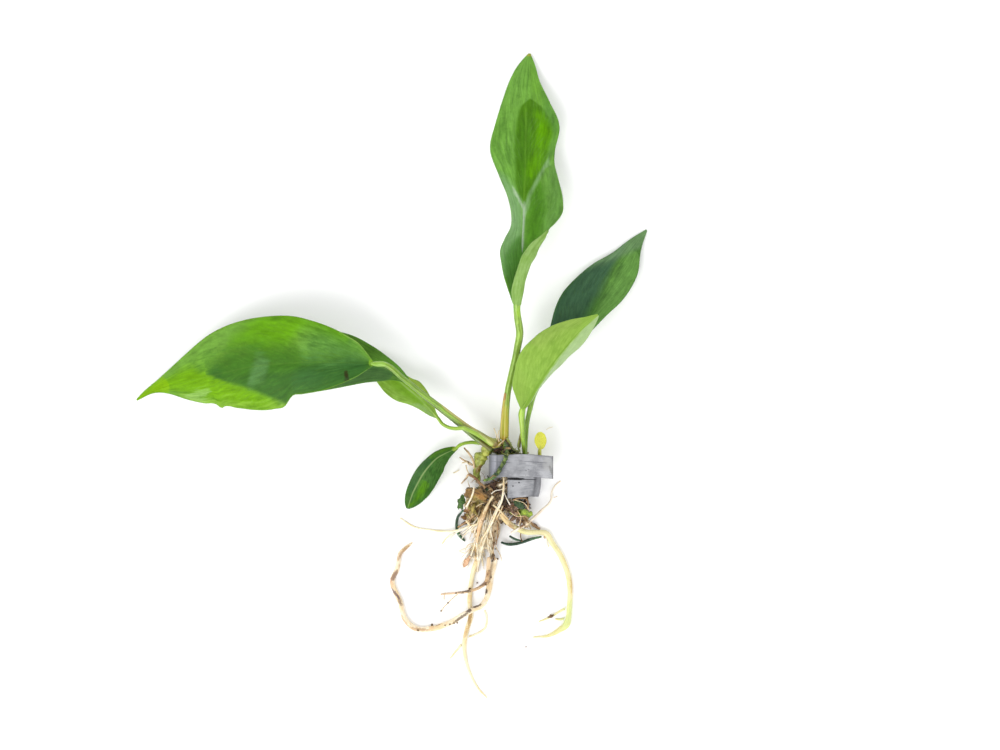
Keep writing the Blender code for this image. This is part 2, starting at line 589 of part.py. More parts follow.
CLUMP_COLOUR = (0.30, 0.20, 0.11)
CLUMP_SIDES = 10
CLUMP_STRANDS = (
    Strand(
        "clump_neck",
        (
            (4.0, -6.4, 5.4, 2.2), (3.4, -8.6, 5.2, 3.0), (1.4, -13.0, 4.9, 3.7), (-0.4, -18.0, 4.7, 4.1),
            (-1.8, -24.0, 4.1, 3.5), (-2.7, -29.0, 3.4, 2.6), (-3.0, -34.0, 2.7, 1.9), (-2.9, -38.6, 2.1, 1.4),
        ),
        CLUMP_COLOUR,
        CLUMP_SIDES,
        1,
    ),
    Strand(
        "clump_left",
        (
            (0.0, -12.4, 4.6, 2.8), (-4.6, -13.4, 4.7, 3.1), (-8.6, -16.0, 4.6, 3.5), (-10.0, -20.0, 4.1, 3.6),
            (-9.4, -25.0, 3.2, 2.9), (-8.8, -29.4, 2.4, 1.8),
        ),
        CLUMP_COLOUR,
        CLUMP_SIDES,
        1,
    ),
    Strand(
        "clump_right",
        (
            (1.0, -19.4, 4.4, 3.2), (5.4, -20.3, 4.3, 3.3), (7.4, -22.4, 3.8, 2.9), (9.0, -25.2, 2.9, 2.2),
            (9.6, -27.6, 2.0, 1.3),
        ),
        CLUMP_COLOUR,
        CLUMP_SIDES,
        1,
    ),
    Strand(
        "clump_column",
        (
            (-3.6, -19.0, 4.2, 3.2), (-5.6, -26.0, 4.0, 3.2), (-7.0, -32.0, 3.1, 2.4), (-7.8, -38.6, 2.0, 1.5),
        ),
        CLUMP_COLOUR,
        CLUMP_SIDES,
        1,
    ),
)


class Scrap(NamedTuple):
    """A shred of dead or torn leaf: its middle, its half sizes, its turn about Z, its arch and its tilt."""

    name: str
    middle: tuple
    half_length: float
    half_width: float
    turn: float
    arch: float
    tilt: float
    colour: tuple


SCRAP_THICKNESS = 0.5
SCRAP_ROWS = 4
SCRAP_COLUMNS = 2
SCRAP_TAPER = 0.45

SCRAPS = (
    Scrap("brown_leaf_scrap", (-8.4, -15.4, 9.4), 3.8, 2.3, -20.0, 0.9, 6.0, (0.42, 0.22, 0.08)),
    Scrap("green_scrap_left", (-13.4, -17.9, 7.4), 2.4, 1.2, 75.0, 0.4, -12.0, (0.08, 0.20, 0.04)),
    Scrap("green_scrap_upper_right", (6.6, -18.8, 8.8), 2.0, 1.1, -35.0, 0.4, 8.0, (0.10, 0.20, 0.05)),
    Scrap("green_scrap_lower_right", (9.4, -21.8, 8.2), 1.9, 1.2, -15.0, 0.3, -10.0, (0.16, 0.30, 0.04)),
    Scrap("orange_root_scrap", (-11.6, -39.0, 0.9), 2.2, 0.8, 60.0, 0.3, 0.0, ROOT_ORANGE),
)

LEAD = (0.42, 0.43, 0.47)


def clear_scene():
    """Remove everything that the startup file holds."""
    for obj in list(bpy.data.objects):
        bpy.data.objects.remove(obj)


def collection(name):
    """A new collection in the scene."""
    made = bpy.data.collections.new(name)
    bpy.context.scene.collection.children.link(made)
    return made


def material(name, colour, roughness, metallic):
    """A plain material of one colour."""
    made = bpy.data.materials.new(name)
    made.use_nodes = True
    shader = made.node_tree.nodes["Principled BSDF"]
    shader.inputs["Base Color"].default_value = (*colour, 1.0)
    shader.inputs["Roughness"].default_value = roughness
    shader.inputs["Metallic"].default_value = metallic
    return made


def through(knots, values, places):
    """Values at the given places of a smooth curve through (knots, values)."""
    knots = np.asarray(knots, float)
    values = np.asarray(values, float).reshape(len(knots), -1)
    slopes = np.gradient(values, knots, axis=0)
    spans = np.clip(np.searchsorted(knots, places, side="right") - 1, 0, len(knots) - 2)
    width = (knots[spans + 1] - knots[spans])[:, None]
    t = (places - knots[spans])[:, None] / width
    start = (2 * t**3 - 3 * t**2 + 1) * values[spans] + (t**3 - 2 * t**2 + t) * width * slopes[spans]
    end = (3 * t**2 - 2 * t**3) * values[spans + 1] + (t**3 - t**2) * width * slopes[spans + 1]
    return start + end


def distances(points):
    """Distance of each point along the line that the points make."""
    steps = np.linalg.norm(np.diff(np.asarray(points, float)[:, :3], axis=0), axis=1)
    return np.concatenate([[0.0], np.cumsum(steps)])


def dense_route(route, per_span):
    """The route with per_span pieces between each two of its points, on a smooth curve."""
    knots = distances(route)
    steps = np.arange(per_span * (len(knots) - 1) + 1) / per_span
    places = np.interp(steps, np.arange(len(knots)), knots)
    return through(knots, route, places)


def tube(strand, target, extra=0.0):
    """A curve object along the strand's route, its radius from the route plus extra."""
    curve = bpy.data.curves.new(strand.name, "CURVE")
    curve.dimensions = "3D"
    curve.bevel_depth = MM
    curve.bevel_resolution = (strand.sides - 4) // 2
    curve.use_fill_caps = True
    points = dense_route(strand.route, strand.per_span)
    spline = curve.splines.new("POLY")
    spline.points.add(len(points) - 1)
    for control, (x, y, z, radius) in zip(spline.points, points):
        control.co = (x * MM, y * MM, z * MM, 1.0)
        control.radius = max(radius, THINNEST_STRAND) + extra
    obj = bpy.data.objects.new(strand.name, curve)
    target.objects.link(obj)
    return obj


def as_mesh(obj, target):
    """A mesh object with the shape of a curve object, its caps joined on. The curve object is removed."""
    bpy.context.view_layer.update()
    graph = bpy.context.evaluated_depsgraph_get()
    mesh = bpy.data.meshes.new_from_object(obj.evaluated_get(graph))
    body = bmesh.new()
    body.from_mesh(mesh)
    bmesh.ops.remove_doubles(body, verts=body.verts, dist=MERGE_DISTANCE)
    bmesh.ops.recalc_face_normals(body, faces=body.faces)
    body.to_mesh(mesh)
    body.free()
    name = obj.name
    bpy.data.objects.remove(obj)
    made = bpy.data.objects.new(name, mesh)
    target.objects.link(made)
    return made


def lengthened(route, by):
    """The route with both of its ends moved outwards."""
    points = [np.array(point, float) for point in route]
    for end, next_one in ((0, 1), (-1, -2)):
        out = points[end][:3] - points[next_one][:3]
        points[end][:3] += out * by / np.linalg.norm(out)
    return tuple(map(tuple, points))


def cutter(strand, target, extra=GAP):
    """A hidden mesh tube a clearance wider and longer than the strand."""
    space = strand._replace(name="space_for_" + strand.name, route=lengthened(strand.route, extra))
    obj = as_mesh(tube(space, target, extra), target)
    obj.hide_render = True
    obj.display_type = "WIRE"
    return obj


def boolean(obj, other, operation):
    """Join other to obj, or cut it away."""
    modifier = obj.modifiers.new(operation.title() + " " + other.name, "BOOLEAN")
    modifier.operation = operation
    modifier.solver = "EXACT"
    modifier.object = other


def finish(obj, colour, plant, roughness, metallic=0.0):
    """Give the piece its material and hang it on the plant."""
    obj.data.materials.clear()
    obj.data.materials.append(material(obj.name, colour, roughness, metallic))
    obj.parent = plant


def solidify(obj, thickness, offset=-1.0):
    """Thicken an open surface."""
    modifier = obj.modifiers.new("Thickness", "SOLIDIFY")
    modifier.thickness = thickness * MM
    modifier.offset = offset
    return modifier


def grid_object(name, rows, columns, place, target):
    """A grid object whose corner (u, v), both from 0 to 1, lies where place says, in millimetres."""
    body = bmesh.new()
    bmesh.ops.create_grid(body, x_segments=rows, y_segments=columns, size=0.5)
    for vert in body.verts:
        vert.co = Vector(place(vert.co.x + 0.5, vert.co.y + 0.5)) * MM
    mesh = bpy.data.meshes.new(name)
    body.to_mesh(mesh)
    body.free()
    mesh.shade_smooth()
    obj = bpy.data.objects.new(name, mesh)
    target.objects.link(obj)
    return obj


def half_section(edge, share):
    """Offset from the midrib and height above it of a point at a share of the way to the margin."""
    reach, rise, bulge, fold = edge
    near = (reach / 3 + NEAR_FOLD * fold, rise / 6 + NEAR_BULGE * bulge)
    far = (2 * reach / 3 + FAR_FOLD * fold, 2 * rise / 3 + bulge + FAR_FOLD_LIFT * fold)
    weights = (3 * share * (1 - share) ** 2, 3 * share**2 * (1 - share), share**3)
    offset = weights[0] * near[0] + weights[1] * far[0] + weights[2] * reach
    height = weights[0] * near[1] + weights[1] * far[1] + weights[2] * rise
    return offset, height


class Blade:
    """Surface of a leaf blade: a point for each share of its length and each place across it."""

    def __init__(self, leaf):
        self.knots = distances(leaf.midrib)
        self.length = self.knots[-1]
        self.midrib = np.array(leaf.midrib, float)
        self.left = np.array(leaf.left, float)
        self.right = np.array(leaf.right, float)

    def middle(self, share):
        """Point of the midrib."""
        return through(self.knots, self.midrib, np.array([share * self.length]))[0]

    def point(self, share, across):
        """Point at a share of the length; across runs from -1 at the left margin to 1 at the right."""
        here = self.middle(share)
        ahead = self.middle(min(share + RUN_STEP, 1.0)) - self.middle(max(share - RUN_STEP, 0.0))
        run = ahead[:2] / np.linalg.norm(ahead[:2])
        side = np.array([-run[1], run[0]]) * (1 if across < 0 else -1)
        table = self.left if across < 0 else self.right
        edge = through(table[:, 0], table[:, 1:], np.array([share]))[0]
        offset, height = half_section(edge, abs(across))
        return (*(here[:2] + side * offset), here[2] + height)


def eased(u):
    """Shares of a leaf's length, closer together near the base and the tip."""
    return 0.5 * u + 0.25 * (1 - math.cos(math.pi * u))


def blade_object(leaf, target):
    """A leaf blade with its midrib standing out on its underside."""
    blade = Blade(leaf)
    flip = -1 if leaf.ridge_up else 1
    obj = grid_object(
        leaf.name,
        leaf.rows,
        leaf.columns,
        lambda u, v: blade.point(eased(u), flip * (1 - 2 * v)),
        target,
    )
    rib = obj.vertex_groups.new(name="rib")
    row_count = leaf.rows + 1
    middle_column = leaf.columns // 2
    for index in range(len(obj.data.vertices)):
        column, row = divmod(index, row_count)
        if column == middle_column and row < RIB_END * row_count:
            rib.add([index], 1.0, "REPLACE")
    modifier = solidify(obj, RIB_THICKNESS)
    modifier.vertex_group = rib.name
    modifier.thickness_vertex_group = BLADE_THICKNESS / RIB_THICKNESS
    return obj


def bend(centre_x, centre_z, start, end):
    """Points of a bend of the strip, between two angles in degrees, without its first point."""
    angles = np.radians(np.linspace(start, end, STRIP_BEND_STEPS + 1)[1:])
    return [
        (centre_x + STRIP_BEND_RADIUS * math.cos(a), centre_z + STRIP_BEND_RADIUS * math.sin(a)) for a in angles
    ]


def strip_path():
    """Middle line of the strip from its upper end, as points (x, y, z, corner).

    corner is how far the strip's lower edge is pulled in from the right there.
    """
    r = STRIP_BEND_RADIUS
    left = STRIP_LEFT + r
    right = STRIP_RIGHT - r
    floor = STRIP_FLOOR + r
    path = []
    for t in np.linspace(0.0, 1.0, STRIP_UPPER_STEPS + 1):
        x = STRIP_UPPER_END + (left - STRIP_UPPER_END) * t
        y = STRIP_UPPER_END_Y + (STRIP_UPPER_Y - STRIP_UPPER_END_Y) * t
        path.append((x, y + STRIP_UPPER_BOW * math.sin(math.pi * t), STRIP_UPPER_TOP, 0.0))
    for x, z in bend(left, STRIP_UPPER_TOP - r, 90, 180) + bend(left, floor, 180, 270):
        path.append((x, STRIP_UPPER_Y, z, 0.0))
    for t in np.linspace(0.0, 1.0, STRIP_FLOOR_STEPS + 1)[1:]:
        eased_t = t * t * (3 - 2 * t)
        y = STRIP_UPPER_Y + (STRIP_LOWER_Y - STRIP_UPPER_Y) * eased_t
        path.append((left + (right - left) * t, y, STRIP_FLOOR, STRIP_CORNER * eased_t))
    for x, z in bend(right, floor, -90, 0) + bend(right, STRIP_LOWER_TOP - r, 0, 90):
        path.append((x, STRIP_LOWER_Y, z, STRIP_CORNER))
    for t in np.linspace(0.0, 1.0, STRIP_LOWER_STEPS + 1)[1:]:
        x = right + (STRIP_LOWER_END - right) * t
        y = STRIP_LOWER_Y + (STRIP_LOWER_END_Y - STRIP_LOWER_Y) * t
        path.append((x, y, STRIP_LOWER_TOP, STRIP_CORNER * (1 - t)))
    return path


def strip_weight(target):
    """The lead strip: flat on the surface below the root neck, bent up both sides and over it."""
    path = strip_path()
    steps = len(path) - 1

    def place(u, v):
        x, y, z, corner = path[round(u * steps)]
        return (x - corner * v**3, y + STRIP_WIDTH * (0.5 - v), z)

    obj = grid_object("lead_strip_weight", steps, STRIP_COLUMNS, place, target)
    solidify(obj, STRIP_THICKNESS, 0.0)
    obj.data.set_sharp_from_angle(angle=math.radians(STRIP_SHARP_ANGLE))
    return obj


def scrap_object(scrap, target):
    """A shred of leaf, arched and tilted."""
    cos, sin = math.cos(math.radians(scrap.turn)), math.sin(math.radians(scrap.turn))
    slope = math.tan(math.radians(scrap.tilt))

    def place(u, v):
        along = (2 * u - 1) * scrap.half_length
        taper = 1 - SCRAP_TAPER * (2 * u - 1) ** 2
        across = (2 * v - 1) * scrap.half_width * taper
        lift = scrap.arch * (1 - (2 * u - 1) ** 2) + slope * along
        x, y, z = scrap.middle
        return (x + cos * along - sin * across, y + sin * along + cos * across, z + lift)

    obj = grid_object(scrap.name, SCRAP_ROWS, SCRAP_COLUMNS, place, target)
    solidify(obj, SCRAP_THICKNESS, 0.0)
    return obj


def rhizome_object(target, cutters):
    """The rhizome, knobbed by old leaf scars, with a socket for each stalk and for its side shoot."""
    obj = as_mesh(tube(RHIZOME, target), target)
    for strand in (*STALKS, SIDE_SHOOT):
        boolean(obj, cutter(strand, cutters), "DIFFERENCE")
    return obj


def clump_object(target, cutters):
    """The form of the root tangle: four bundles grown together, with a socket for each root leaving it."""
    first, *others = CLUMP_STRANDS
    obj = as_mesh(tube(first, target), target)
    obj.name = "root_clump"
    for strand in others:
        part = as_mesh(tube(strand, cutters), cutters)
        part.hide_render = True
        part.display_type = "WIRE"
        boolean(obj, part, "UNION")
    for strand in ROOTS:
        boolean(obj, cutter(strand, cutters), "DIFFERENCE")
    return obj


def build():
    """Model the whole plant."""
    clear_scene()
    parts = collection("anubias_nangi")
    cutters = collection("cutters")
    plant = bpy.data.objects.new("plant", None)
    parts.objects.link(plant)
    for leaf in LEAVES:
        finish(blade_object(leaf, parts), leaf.colour, plant, LEAF_ROUGHNESS)
    for strand in (*STALKS, *SHEATHS):
        finish(tube(strand, parts), strand.colour, plant, STALK_ROUGHNESS)
    for strand in ROOTS:
        finish(tube(strand, parts), strand.colour, plant, ROOT_ROUGHNESS)
    finish(rhizome_object(parts, cutters), RHIZOME.colour, plant, RHIZOME_ROUGHNESS)
    finish(as_mesh(tube(SIDE_SHOOT, parts), parts), SIDE_SHOOT.colour, plant, RHIZOME_ROUGHNESS)
    finish(clump_object(parts, cutters), CLUMP_COLOUR, plant, CLUMP_ROUGHNESS)
    finish(strip_weight(parts), LEAD, plant, LEAD_ROUGHNESS, 1.0)
    for scrap in SCRAPS:
        finish(scrap_object(scrap, parts), scrap.colour, plant, SCRAP_ROUGHNESS)
    plant.location = Vector((CROWN_X, CROWN_Y, 0.0)) * MM
    for obj in cutters.objects:
        obj.parent = plant


build()
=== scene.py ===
"""Anubias nangi, a bare-root water plant lying flat with a lead strip wound round its root neck.

Dresses the plant's fixed solids with fine surfaces. Lengths in the tables are millimetres from the crown,
the point on the surface below the place where the leaf stalks meet. X runs to the right of the lying plant,
Y along its tallest leaf and Z up.
"""

from __future__ import annotations

import logging
import math
from dataclasses import dataclass
from enum import Enum
from typing import Any, Callable, NamedTuple, Sequence

import bmesh
import bpy
import numpy as np
from bmesh.types import BMesh
from bpy.types import CurveMapping, Material, Node, NodeSocket, Object, SolidifyModifier, World
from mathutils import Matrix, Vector, noise
from mathutils.bvhtree import BVHTree


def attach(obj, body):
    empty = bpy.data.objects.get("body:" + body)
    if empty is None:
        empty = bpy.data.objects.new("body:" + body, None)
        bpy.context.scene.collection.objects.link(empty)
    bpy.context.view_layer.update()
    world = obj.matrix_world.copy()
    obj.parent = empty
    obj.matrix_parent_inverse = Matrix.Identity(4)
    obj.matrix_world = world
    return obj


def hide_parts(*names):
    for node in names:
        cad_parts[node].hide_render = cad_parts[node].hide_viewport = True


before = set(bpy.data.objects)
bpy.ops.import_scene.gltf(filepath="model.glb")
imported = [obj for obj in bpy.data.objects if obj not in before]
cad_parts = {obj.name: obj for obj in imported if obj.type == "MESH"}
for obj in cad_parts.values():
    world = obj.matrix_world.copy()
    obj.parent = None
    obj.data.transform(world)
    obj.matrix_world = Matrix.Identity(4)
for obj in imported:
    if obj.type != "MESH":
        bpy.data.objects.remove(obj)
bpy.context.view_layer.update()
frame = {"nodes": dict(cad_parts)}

log = logging.getLogger("anubias_nangi")

MM = 0.001
WELD = 1e-6
TIP_WELD = 2e-7
LEAST_WEIGHT = 0.02
LOOKOUT = 60.0
CROWN = np.array([38.0, -25.9, 0.0])
BODY = "root"

LIGHT = 1.3
SHEEN = 0.008
DARKEST = 0.002

Pair = tuple[float, float]
Point = tuple[float, float, float]
Row = tuple[float, ...]
Colour = Point | str
Place = Callable[[float, float], Sequence[float]]


def tint(code: str) -> Colour:
    """Linear colour of a surface that looks like the sRGB code in the studio's light.

    Args:
        code: Six hex digits, as in RRGGBB.

    Returns:
        Red, green and blue of the paint, linear.
    """
    shares = [int(code[i : i + 2], 16) / 255 for i in (0, 2, 4)]
    linear = [((s + 0.055) / 1.055) ** 2.4 if s > 0.04 else s / 12.92 for s in shares]
    red, green, blue = (max(DARKEST, (level - SHEEN) / LIGHT) for level in linear)
    return red, green, blue


def own_seed(name: str, span: int) -> float:
    """A whole number below span that belongs to the name."""
    return float(sum(map(ord, name)) % span)


# Shader nodes


class Spot(NamedTuple):
    """A ragged spot of another colour, seen from above. The finishes hold what it takes as plain rows.

    x and y give its middle in millimetres from the crown and turn the angle of its length to X in degrees.
    """

    x: float
    y: float
    half_length: float
    half_width: float
    turn: float
    colour: Colour
    strength: float = 0.85


class Value:
    """A number on a shader socket. Arithmetic on it adds Math nodes."""

    def __init__(self, paint: Nodes, socket: NodeSocket) -> None:
        """Keep the socket with the nodes that it belongs to."""
        self.paint = paint
        self.socket = socket

    def math(self, operation: str, *others: Value | float, first: bool = True) -> Value:
        """Add one Math node.

        Args:
            operation: The Math node's operation.
            others: The other operands.
            first: Whether this value is the first operand, or the second.

        Returns:
            The node's result.
        """
        operands: list[Value | float] = [self, *others] if first else [*others, self]
        made = self.paint.node("Math", {"operation": operation}, dict(enumerate(operands)))
        return Value(self.paint, made.outputs[0])

    def __add__(self, other: Value | float) -> Value:
        """self + other."""
        return self.math("ADD", other)

    def __sub__(self, other: Value | float) -> Value:
        """self - other."""
        return self.math("SUBTRACT", other)

    def __mul__(self, other: Value | float) -> Value:
        """self * other."""
        return self.math("MULTIPLY", other)

    def __pow__(self, other: Value | float) -> Value:
        """self ** other."""
        return self.math("POWER", other)

    def __rsub__(self, other: float) -> Value:
        """other - self."""
        return self.math("SUBTRACT", other, first=False)

    __radd__ = __add__

    def __abs__(self) -> Value:
        """Distance from zero."""
        return self.math("ABSOLUTE")

    def sine(self) -> Value:
        """Sine of the value in radians."""
        return self.math("SINE")

    def least(self, other: Value | float) -> Value:
        """The smaller of the two."""
        return self.math("MINIMUM", other)

    def most(self, other: Value | float) -> Value:
        """The larger of the two."""
        return self.math("MAXIMUM", other)

    def between(self, low: float, high: float) -> Value:
        """Smooth step: 0 at low and 1 at high, eased between them.

        Args:
            low: Where the step starts.
            high: Where it ends.

        Returns:
            The eased value.
        """
        eased = {"interpolation_type": "SMOOTHSTEP"}
        made = self.paint.node("MapRange", eased, {"Value": self, "From Min": low, "From Max": high})
        return Value(self.paint, made.outputs[0])


class Nodes:
    """The nodes of a material or of the room's light."""

    def __init__(self, owner: Material | World) -> None:
        """Start an empty node tree for the owner.

        Args:
            owner: A material or a world.
        """
        self.owner = owner
        owner.use_nodes = True
        self.tree = owner.node_tree
        self.tree.nodes.clear()

    def node(
        self, kind: str, settings: dict[str, object] | None = None, sockets: dict[Any, object] | None = None
    ) -> Node:
        """Add a node.

        Args:
            kind: Its type without the ShaderNode prefix.
            settings: Its properties; "points" gives a curve's (position, value) pairs.
            sockets: Values, links or sRGB codes by the input's number, identifier or name.

        Returns:
            The node.
        """
        made = self.tree.nodes.new("ShaderNode" + kind)
        for key, setting in (settings or {}).items():
            if key == "points":
                self._set_points(made.mapping, setting)
            else:
                setattr(made, key, setting)
        for key, given in (sockets or {}).items():
            socket = self._input(made, key)
            if isinstance(given, str):
                given = tint(given)
            if isinstance(given, Value):
                self.tree.links.new(given.socket, socket)
            elif isinstance(given, NodeSocket):
                self.tree.links.new(given, socket)
            elif isinstance(given, tuple) and len(given) == 3 and socket.type == "RGBA":
                socket.default_value = (*given, 1.0)
            else:
                socket.default_value = given
        return made

    @staticmethod
    def _set_points(mapping: CurveMapping, points: Sequence[Pair]) -> None:
        """Give a curve its points.

        Args:
            mapping: The curve's mapping.
            points: Rows of position and value.
        """
        mapping.use_clip = False
        curve = mapping.curves[0]
        while len(curve.points) < len(points):
            curve.points.new(1.0, 1.0)
        for point, (position, value) in zip(curve.points, points):
            point.location = (position, value)
        mapping.update()

    @staticmethod
    def _input(made: Node, key: str | int) -> NodeSocket:
        """The input with that number, identifier or name.

        Args:
            made: The node.
            key: What names the input.

        Returns:
            The input.
        """
        if isinstance(key, int):
            return made.inputs[key]
        for socket in made.inputs:
            if socket.identifier == key:
                return socket
        return made.inputs[key]

    def curve(self, value: Value, points: Sequence[Pair]) -> Value:
        """Number read from a smooth curve through the points."""
        return Value(self, self.node("FloatCurve", {"points": points}, {"Value": value}).outputs[0])

    def mix(self, low: object, high: object, share: Value | float) -> NodeSocket:
        """Colour between low and high."""
        kind = {"data_type": "RGBA", "clamp_factor": True}
        return self.node("Mix", kind, {"Factor_Float": share, "A_Color": low, "B_Color": high}).outputs[2]


class Paint(Nodes):
    """One material."""

    def __init__(self, name: str) -> None:
        """Make a material without nodes."""
        super().__init__(bpy.data.materials.new(name))

    def place(self) -> NodeSocket:
        """The point's place in the object, in metres."""
        return self.node("TexCoord").outputs["Object"]

    def surface(self) -> tuple[Value, Value]:
        """The two numbers of the piece's UV map.

        Returns:
            The share along the piece and the share across it.
        """
        mapped = self.node("UVMap", {"uv_map": "UVMap"}).outputs[0]
        split = self.node("SeparateXYZ", None, {0: mapped})
        return Value(self, split.outputs[0]), Value(self, split.outputs[1])

    def vector(self, x: Value | float, y: Value | float, z: Value | float = 0.0) -> NodeSocket:
        """A vector made of three numbers."""
        return self.node("CombineXYZ", None, {0: x, 1: y, 2: z}).outputs[0]

    def noise(
        self,
        per_mm: float,
        detail: float = 3.0,
        rough: float = 0.55,
        vector: NodeSocket | None = None,
        twist: float = 0.0,
    ) -> Value:
        """Noise from about 0.25 to 0.75.

        Args:
            per_mm: Waves in a millimetre of the object, or in a unit of vector.
            detail: Octaves.
            rough: Strength of the fine octaves.
            vector: Coordinates to use in place of the object's.
            twist: Distortion.

        Returns:
            The noise.
        """
        grain = {"Detail": detail, "Roughness": rough, "Distortion": twist}
        scale = per_mm if vector else per_mm / MM
        made = self.node("TexNoise", None, {"Vector": vector or self.place(), "Scale": scale, **grain})
        return Value(self, made.outputs[0])

    def cells(self, per_mm: float) -> Value:
        """Distance to the nearest of scattered points."""
        made = self.node("TexVoronoi", None, {"Vector": self.place(), "Scale": per_mm / MM})
        return Value(self, made.outputs["Distance"])

    def spotted(self, colour: NodeSocket, spots: Sequence[tuple], ragged: Value) -> NodeSocket:
        """Lay spots of other colours over a colour.

        Args:
            colour: The colour below.
            spots: What Spot takes, a row for each, the last uppermost.
            ragged: What moves their edges in and out, about zero.

        Returns:
            The spotted colour.
        """
        for spot in (Spot(*row) for row in spots):
            sockets = {
                "Vector": self.place(),
                "Location": in_world((spot.x, spot.y, 0.0)),
                "Rotation": (0.0, 0.0, math.radians(spot.turn)),
                "Scale": (spot.half_length * MM, spot.half_width * MM, 1.0),
            }
            centred = self.node("Mapping", {"vector_type": "TEXTURE"}, sockets).outputs[0]
            away = self.node("VectorMath", {"operation": "LENGTH"}, {0: centred}).outputs["Value"]
            mask = (1.0 - (Value(self, away) + ragged).between(0.75, 1.15)) * spot.strength
            colour = self.mix(colour, spot.colour, mask)
        return colour

    def principled(
        self,
        colour: NodeSocket,
        rough: Value,
        relief: Value,
        depth: float,
        more: dict[str, object] | None = None,
    ) -> NodeSocket:
        """Principled shader with a relief.

        Args:
            colour: The base colour.
            rough: The roughness.
            relief: The relief's height, about 0 to 1.
            depth: What the relief's 1 stands for, in millimetres.
            more: Its other inputs.

        Returns:
            The shader.
        """
        normal = self.node("Bump", None, {"Height": relief, "Distance": depth * MM}).outputs[0]
        sockets = {"Base Color": colour, "Roughness": rough, "Normal": normal, **(more or {})}
        return self.node("BsdfPrincipled", None, sockets).outputs[0]

    def finish(self, shader: NodeSocket) -> Material:
        """Link the shader to the output."""
        self.node("OutputMaterial", None, {"Surface": shader})
        return self.owner


# Finishes


class Slot(Enum):
    """The record's material slots."""

    LEAF_BRIGHT = "leaf_bright"
    LEAF_DARK = "leaf_dark"
    LEAF_UNDERSIDE = "leaf_underside"
    LEAF_YELLOW = "leaf_yellow"
    STALK = "stalk"
    SHEATH = "sheath"
    RHIZOME = "rhizome"
    ROOT_IVORY = "root_ivory"
    ROOT_TAN = "root_tan"
    ROOT_BROWN = "root_brown"
    ROOT_ORANGE = "root_orange"
    ROOT_YELLOW = "root_yellow"
    CLUMP = "root_clump"
    GREEN_STRAND = "green_strand"
    BROWN_SCRAP = "brown_scrap"
    GREEN_SCRAP = "green_scrap"
    LEAD = "lead"


class Patch(NamedTuple):
    """A soft-edged patch of another colour on a leaf; some patches are painted light shining through, painted
    shade and painted sheen.

    outline gives its lower and upper side across the leaf, from -1 at the left margin to 1 at the right,
    at rising shares of the leaf's length. ragged is how far the streaks pull its edge.
    """

    outline: tuple[tuple[float, float, float], ...]
    colour: Colour
    strength: float = 0.8
    soft: float = 0.15
    ragged: float = 0.3


def vein_phase(along: Any, out: Any, veins: float, slope: float) -> Any:
    """Number of side veins passed at a place on a leaf: along it, and out from the midrib."""
    return along * veins - (out**0.8) * slope


def fleshy(share: float, reach: Point, scale: float) -> dict[str, object]:
    """Inputs for light inside flesh: its share, its reach in red, green and blue, and their scale in mm."""
    return {"Subsurface Weight": share, "Subsurface Radius": reach, "Subsurface Scale": scale * MM}


